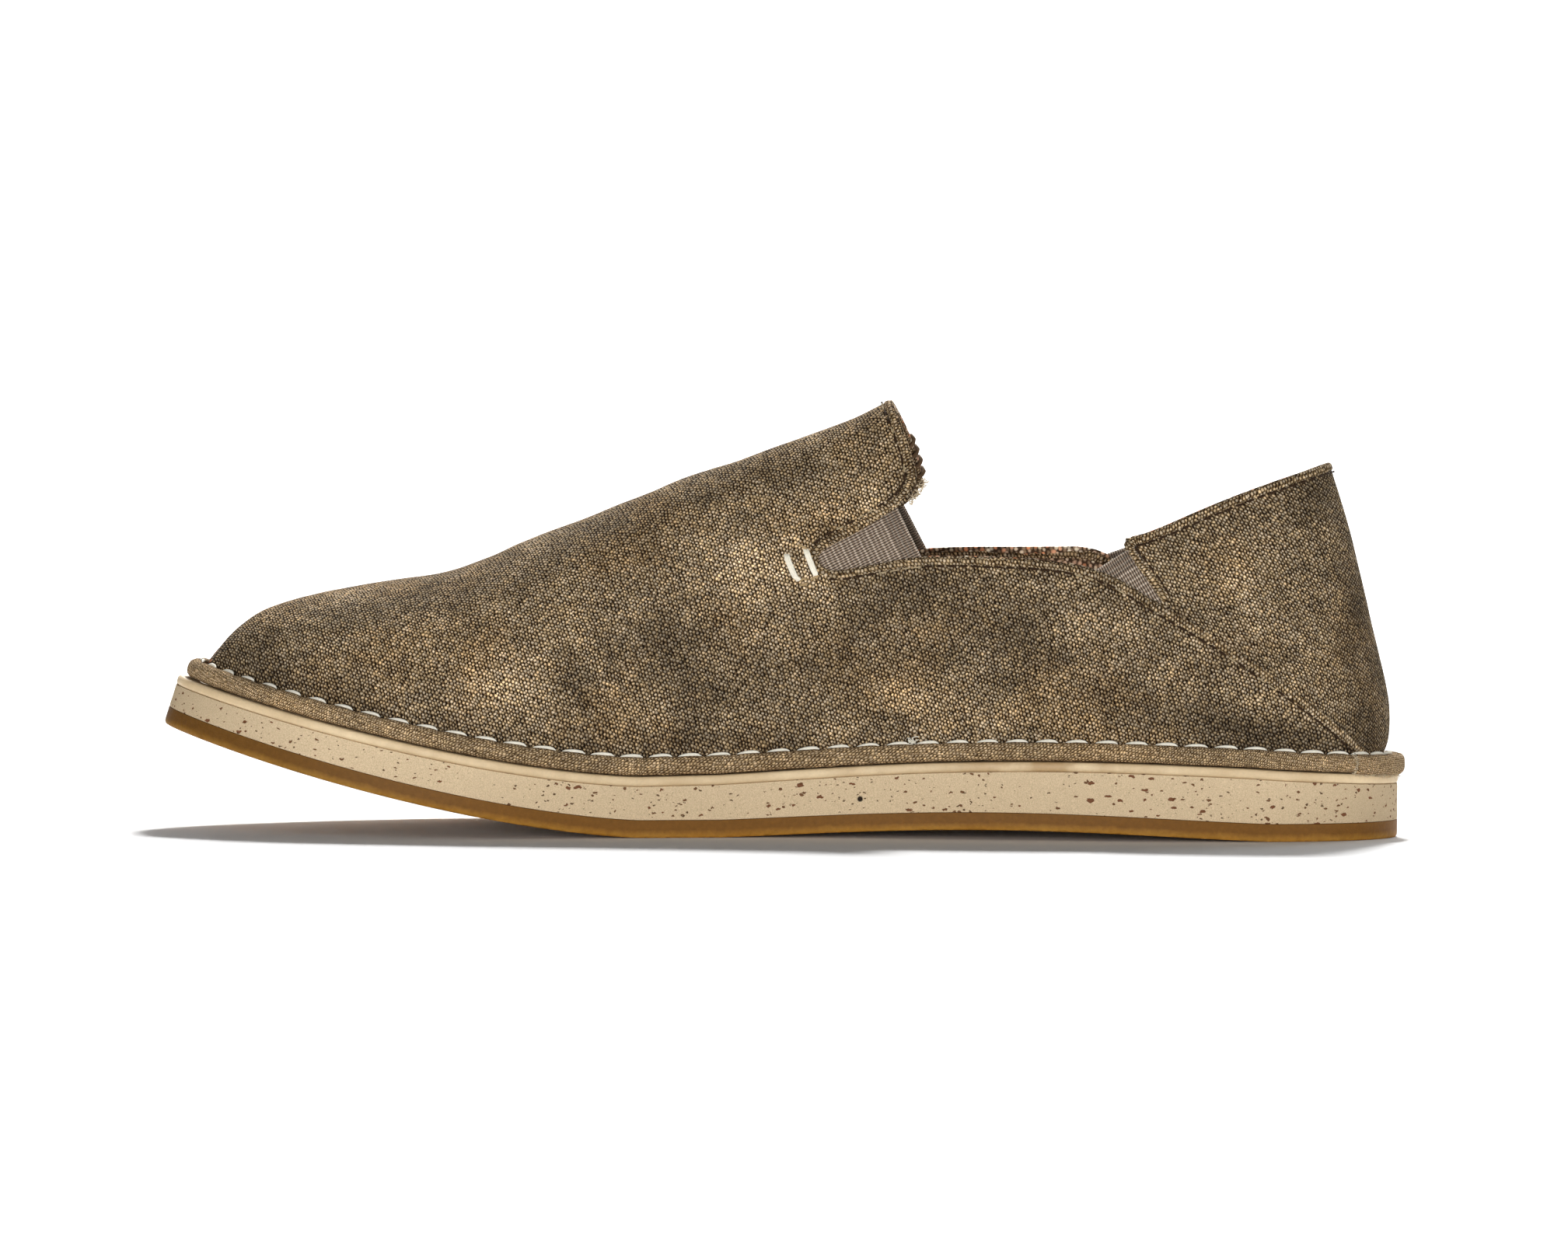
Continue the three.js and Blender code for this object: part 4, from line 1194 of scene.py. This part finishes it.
# The sole
def slab(name, material, inset, shift, profile, stations=320, roughen=None):
    """A closed piece of the sole. profile gives its edge from the bottom to the top: how far in from the
    inset each point lies, and its height over the underside as a function of x."""
    rows, across, n = int(stations * FINE), 8, len(profile)
    ring = ([("flat", 0, k / across) for k in range(across)] + [("edge", 1, k) for k in range(n)]
            + [("flat", n - 1, 1 - k / across) for k in range(1, across)]
            + [("edge", -1, n - 1 - k) for k in range(n - 1)])

    @lru_cache(None)
    def corner(i, side, k):
        turn = math.pi * i / rows
        margin, height = profile[k]
        p = inset_point(side * turn, inset + margin)
        return on_sole(p.x + shift, p.y, height(p.x + shift))

    def place(u, v):
        i, j = round(u * rows), round(v * len(ring)) % len(ring)
        kind, a, b = ring[j]
        p = corner(i, a, b) if kind == "edge" else corner(i, -1, a).lerp(corner(i, 1, a), b)
        if roughen:
            p = p + roughen(p, kind)
        return placed(p)

    bm = grid(rows, len(ring), place)
    up = bm.verts.layers.float.new("up")
    for v in bm.verts:
        p = v.co / MM - SHIFT
        v[up] = p.z - underside(p.x)
    face_out(bm, None, merge=3e-5)
    lay_cloth(bm, lambda v: tuple(v.co.xy / MM))
    piece = finish_mesh(bm, name, material)
    piece.data.set_sharp_from_angle(angle=math.radians(40))
    return piece


def middle_top(x):
    """The height of the foam's top over the underside."""
    return thickness(x) - RUNNER_THICKNESS


def ragged(p, kind):
    """The rubber's lower edge is worn and pitted."""
    low = max(0, 1 - (p.z - underside(p.x)) / .75) if kind == "edge" else 0
    return Vector((0, 0, low * max(-.05, .38 * noise.noise(p * .9) + .2 * noise.noise(p * 2.3))))


outsole = slab("outsole_rubber", gum, 0, 0, [
    (.8, lambda x: 0), (.35, lambda x: .12), (.05, lambda x: .6), (0, lambda x: 1.4), (0, lambda x: 2.8),
    (0, lambda x: OUTSOLE_THICKNESS - .05), (.25, lambda x: OUTSOLE_THICKNESS + .02)], 620, roughen=ragged)
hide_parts("outsole")
midsole = slab("midsole_foam", foam, 0, 0, [
    (.35, lambda x: OUTSOLE_THICKNESS), (.06, lambda x: OUTSOLE_THICKNESS + .12),
    (0, lambda x: OUTSOLE_THICKNESS + .8), (.05, lambda x: (OUTSOLE_THICKNESS + middle_top(x)) / 2),
    (0, lambda x: middle_top(x) - .8), (.06, lambda x: middle_top(x) - .1), (.5, lambda x: middle_top(x))])
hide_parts("midsole")
runner = slab("runner_band", band, 0, 0, [
    (.45, lambda x: middle_top(x) + .02), (.08, lambda x: middle_top(x) + .22), (-.12, lambda x: middle_top(x) + .7),
    (-.1, lambda x: thickness(x) - .7), (.12, lambda x: thickness(x) - .2), (.5, lambda x: thickness(x))])
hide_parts("runner")
inside = UPPER_MARGIN + UPPER_WALL + GAP
bed = slab("footbed", footbed, inside, LAST_SHIFT, [
    (margin, lambda x, over=over: thickness(x) + GAP + over) for margin, over in (
        (.4, 0), (0, .6), (0, INSOLE_THICKNESS - 1), (.3, INSOLE_THICKNESS - .3), (1.1, INSOLE_THICKNESS))], 200)
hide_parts("insole")

# The binding round the foot of the upper, with its welt stitches
BEAD_TURNS, SEAM_STEPS = 720, 1200


def bead_point(turn, phi, swell=0.0):
    """A point on the binding: phi turns from outside (0) over the top (quarter turn) to the upper."""
    c, s = math.cos(phi), math.sin(phi)
    square = (abs(c) ** 2.6 + abs(s) ** 2.6) ** (-1 / 2.6)
    across, up = c * square * (1 + swell), s * square * (1 + swell)
    return on_top(turn, BINDING_MARGIN + BINDING_WIDTH / 2 * (1 - across), BINDING_HEIGHT / 2 * (1 + up))


# How far round the seam each turn lies, so that its stitches are evenly spaced
SEAM_TURNS = [-math.pi + 2 * math.pi * i / SEAM_STEPS for i in range(SEAM_STEPS + 1)]
seam = [placed(bead_point(turn, math.radians(108))) for turn in SEAM_TURNS]
seam_far = [0.0]
for a, b in zip(seam, seam[1:]):
    seam_far.append(seam_far[-1] + (b - a).length)
STITCHES = round(seam_far[-1] / (STITCH_PITCH * MM))


def turn_for(share):
    """The turn at a share of the way round the binding's seam."""
    return float(np.interp(share % 1 * seam_far[-1], seam_far, SEAM_TURNS))


def stitch_phase(turn):
    """Where a turn lies between two stitch holes: 0 and 1 at the holes."""
    return float(np.interp(turn, SEAM_TURNS, seam_far)) / seam_far[-1] * STITCHES % 1


def bead(u, v):
    turn, phi = -math.pi + 2 * math.pi * (u % 1), 2 * math.pi * v
    hole = min(stitch_phase(turn), 1 - stitch_phase(turn)) * STITCH_PITCH
    top = max(0, math.cos(phi - math.radians(105))) ** 2
    p = bead_point(turn, phi)
    lump = .05 * noise.noise(p / 3) + .03 * noise.noise(p / 1.1)
    return placed(bead_point(turn, phi, lump - .12 * top * math.exp(-(hole / 1.0) ** 2) - .02))


bm = grid(int(BEAD_TURNS * FINE), 18, bead)
us, vs = shares(bm)
lay_cloth(bm, lambda v: (v[us] * seam_far[-1] / MM, v[vs] * 13.4))
face_out(bm, None, merge=2e-5)
binding = finish_mesh(bm, "binding_roll", canvas_binding)
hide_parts("welt_binding")


def cords(name, arcs, material, sides=8):
    """Bent lengths of thread as one mesh. arcs: lists of (point, radius in millimetres)."""
    bm = bmesh.new()
    for arc in arcs:
        ring_of = []
        for i, (p, radius) in enumerate(arc):
            ahead = (arc[min(i + 1, len(arc) - 1)][0] - arc[max(i - 1, 0)][0]).normalized()
            across = ahead.cross(Vector((.13, .21, 1))).normalized()
            up = across.cross(ahead)
            made = bmesh.ops.create_circle(bm, segments=sides, radius=radius * MM, matrix=Matrix.Translation(p)
                                           @ Matrix((across, up, ahead)).transposed().to_4x4())["verts"]
            ring_of.append(made)
        for a, b in zip(ring_of, ring_of[1:]):
            edges = [e for v in a + b for e in v.link_edges if e.other_vert(v) in a or e.other_vert(v) in b]
            bmesh.ops.bridge_loops(bm, edges=list(dict.fromkeys(edges)))
    face_out(bm, None, merge=1e-6)
    return finish_mesh(bm, name, material)


def welt_arc(k):
    """One welt stitch: up out of its hole by the upper, along the top of the binding and down again."""
    points = []
    for i in range(9):
        t = i / 4 - 1
        turn = turn_for((k + .5 + t * .40) / STITCHES)
        lean = math.radians(118 - 16 * t)
        rise = .04 + .10 * (1 - t * t) - .5 * max(0, abs(t) - .8)
        points.append((placed(bead_point(turn, lean, rise)), .47 * (1 - .7 * abs(t) ** 3)))
    return points


cords("welt_stitches", [welt_arc(k) for k in range(STITCHES)], thread_cream)


# Bar tacks at the front of each elastic: a bundle of strands, with a looser stitch across its foot
def strand(points, side, proud, radius, shift=0.0):
    """A thread over the canvas through side-view points, arched and thinner at its ends."""
    line = []
    for i in range(11):
        t = i / 10
        x, z = along_line(points, t)
        hit, normal = surface_at(x + shift, z, side)
        end = abs(2 * t - 1)
        line.append((hit + normal * (proud - (proud + .5) * end ** 8) * MM,
                     radius * (1 - .3 * end ** 4 + .08 * noise.noise(Vector((i * .9, shift * 3, x))))))
    return line


def bar_bundles(side):
    for points in ([(2.0, 69.0), (2.5, 67.2), (4.2, 63.4), (5.5, 62.4)],
                   [(6.6, 70.4), (7.5, 68.0), (8.9, 64.7), (9.6, 63.5)]):
        for shift in (-.42, 0, .42):
            yield strand(points, side, .62 - .35 * abs(shift), .36, shift)


def bar_feet(side):
    for points in ([(5.2, 62.3), (6.4, 62.9), (7.2, 62.7)], [(5.4, 61.3), (6.6, 61.5), (7.4, 61.9)],
                   [(8.2, 62.7), (9.4, 63.4), (10.9, 64.2)], [(5.0, 71.3), (6.2, 70.6), (7.0, 70.2)]):
        yield strand(points, side, .3, .3)


cords("bar_tacks", [a for side in (-1, 1) for a in bar_bundles(side)], thread_white)
cords("bar_tack_feet", [a for side in (-1, 1) for a in bar_feet(side)], thread_tan)


# Loose threads: the frayed corner under the throat, the knot of the welt seam, the raw end of the binding
KNOT_TURN = -math.acos(1 - 2 * share_at(32.7))
LAP_START, LAP_RUN = -.385, .6


def curl(start, steps, reach, seed, radius=.13):
    """A loose thread that wanders from a point in the directions of steps, all in part millimetres."""
    line = []
    for i in range(12):
        t = i / 11
        p = start + steps * t * reach
        sway = Vector([noise.noise(Vector((t * 2.3 + seed, k * 5.1, seed))) for k in range(3)])
        line.append((placed(p + sway * 1.1 * min(1, t * 3)), radius * (1 - .5 * t)))
    return line


def frayed_corner():
    for k in range(11):
        t = k / 10
        hit, normal = surface_at(32.2 + 3.6 * t, 81.2 + 5.6 * t, -1)
        start = hit / MM - SHIFT + normal * .3
        yield curl(start, Vector((1.0, -.4, .5 - t)), .7, k * 3.7, .17)
        yield curl(start + Vector((.3, 0, .2)), Vector((-.9, -.6, .9)), .9, k * 2.1 + 9, .14)


def welt_knot():
    base = placed(bead_point(KNOT_TURN, math.radians(112), .12)) / MM - SHIFT
    for k in range(9):
        a = k * .7
        yield curl(base, Vector((math.cos(a), -.35, .5 + .5 * math.sin(a))), 1.5, k * 4.3, .15)


def raw_edge():
    for k in range(64):
        t = k / 63
        turn = LAP_START + LAP_RUN * t
        phi = math.radians(-62 - 12 * noise.noise(Vector((k * .37, 2, 5))))
        base = placed(bead_point(turn, phi, .10)) / MM - SHIFT
        yield curl(base, Vector((.5 * math.sin(k * 1.7), -.35, -.9)), .8 + .4 * math.sin(k * 2.9), k * 1.3, .1)
    for k in range(22):
        phi = math.radians(-60 + 108 * k / 21)
        base = placed(bead_point(LAP_START, phi, .11)) / MM - SHIFT
        yield curl(base, Vector((-1, -.25, .3 * math.sin(k * 2.2))), .8, k * 2.7 + 40, .1)


cords("frayed_throat_corner", list(frayed_corner()), thread_fray, 6)
cords("welt_knot", list(welt_knot()), thread_cream, 6)
cords("binding_raw_edge", list(raw_edge()), thread_fray, 5)


def second_layer(u, v):
    """The binding's outer end, lapped over its beginning round the back of the heel."""
    turn, phi = LAP_START + LAP_RUN * u, math.radians(-64 + 116 * v)
    thin = min(1, v * 6, (1 - v) * 5)
    p = bead_point(turn, phi)
    return placed(bead_point(turn, phi, -.04 + .15 * thin + .05 * noise.noise(p / 2.1)))


bm = grid(int(90 * FINE), 16, second_layer)
us, vs = shares(bm)
lay_cloth(bm, lambda v: (v[us] * 62, v[vs] * 8))
face_out(bm, from_middle(.02), even_out=False)
wall(bm, "binding_lap", canvas_binding, LAP_CLOTH)


# Whipped thread round the lateral edge of the throat, which the eye meets from inside
def whipping():
    turns = 6
    places = [(s, body_edge.at(s)[0] / MM - SHIFT) for s in (i / 900 for i in range(901))]
    there = [s for s, p in places if p.y + SHIFT.y > 4 and 83 < p.z < 99]
    loop = (2.0, .3), (.9, .62), (-.2, .3), (-.55, -1.1), (-.1, -2.4), (.9, -2.9), (2.0, -2.9)
    for k in range(turns if there else 0):
        s = there[0] + (there[-1] - there[0]) * (k + .5) / turns
        yield [(body_edge.point(s + .0006 * i, inward, height), .62 - .08 * abs(i - 3))
               for i, (inward, height) in enumerate(loop)]


cords("throat_whipping", list(whipping()), thread_dull)


# Floor, light and camera
def floor_sheet(width, depth, height, front, radius):
    """A floor that bends up into a backdrop."""
    bm = bmesh.new()
    bmesh.ops.create_grid(bm, x_segments=8, y_segments=64, size=.5)
    for v in bm.verts:
        run = (v.co.y + .5) * (depth + height)
        bend = min(max((run - depth) / radius, 0), math.pi / 2)
        up = max(run - depth - radius * math.pi / 2, 0)
        v.co = (v.co.x * width, front + min(run, depth) + radius * math.sin(bend), radius * (1 - math.cos(bend)) + up)
    mat, _, ins = surface("pale floor", .9)
    ins["Base Color"].default_value = (.85, .85, .85, 1)
    floor = finish_mesh(bm, "floor", mat, lay=False)


floor_sheet(14, 5, 7, -3.6, 1.2)


def lamp(name, place, aim, size, power, spread=180):
    light = bpy.data.lights.new(name, "AREA")
    light.shape, light.size, light.energy, light.spread = "DISK", size, power, math.radians(spread)
    obj = bpy.data.objects.new(name, light)
    obj.location = place
    obj.rotation_euler = (Vector(aim) - Vector(place)).to_track_quat("-Z", "Y").to_euler()
    bpy.context.scene.collection.objects.link(obj)


lamp("key", (-.9, -3, .09), (0, 0, .06), 1.2, 86)
lamp("fill", (2.0, -2.1, .09), (0, 0, .06), 1.2, 36)
lamp("top", (.1, 1.42, 1.6), (0, 0, .05), .28, 58)
lamp("soft", (1.3, 1.7, 1.3), (0, 0, 0), .9, 12)
lamp("floor wash", (0, -2.4, 1.9), (0, -2.4, 0), 1.8, 62, spread=90)
lamp("backdrop wash", (0, .9, 2.6), (0, 3.4, 1.4), 2, 45, spread=100)

# The world lights the shoe only a little, and stands white behind it for the camera
world = bpy.data.worlds.new("studio")
world.use_nodes = True
light_path = world.node_tree.nodes.new("ShaderNodeLightPath")
level = calc(world.node_tree, "MULTIPLY_ADD", light_path.outputs["Is Camera Ray"], .965, .035)
world.node_tree.links.new(level, world.node_tree.nodes["Background"].inputs["Strength"])
world.node_tree.nodes["Background"].inputs["Color"].default_value = (1, 1, 1, 1)
bpy.context.scene.world = world
bpy.context.scene.view_settings.view_transform = "Standard"

lens = bpy.data.cameras.new("camera")
camera = bpy.data.objects.new("camera", lens)
bpy.context.scene.collection.objects.link(camera)
bpy.context.scene.camera = camera
azimuth, elevation, roll = (math.radians(a) for a in (2.8, 1.8, .37))
distance, aim, photo_width = 2.5, Vector((-.00075, 0, .052)), 2017
back = Vector((math.sin(azimuth) * math.cos(elevation), -math.cos(azimuth) * math.cos(elevation), math.sin(elevation)))
right = Vector((math.cos(azimuth), math.sin(azimuth), 0))
up = back.cross(right)
right, up = right * math.cos(roll) + up * math.sin(roll), up * math.cos(roll) - right * math.sin(roll)
camera.matrix_world = Matrix.Translation(aim + back * distance) @ Matrix((right, up, back)).transposed().to_4x4()
lens.sensor_width, lens.lens = 36, 232.26
lens.shift_x, lens.shift_y = 2.5 / photo_width, -.5 / photo_width
lens.clip_end = 50
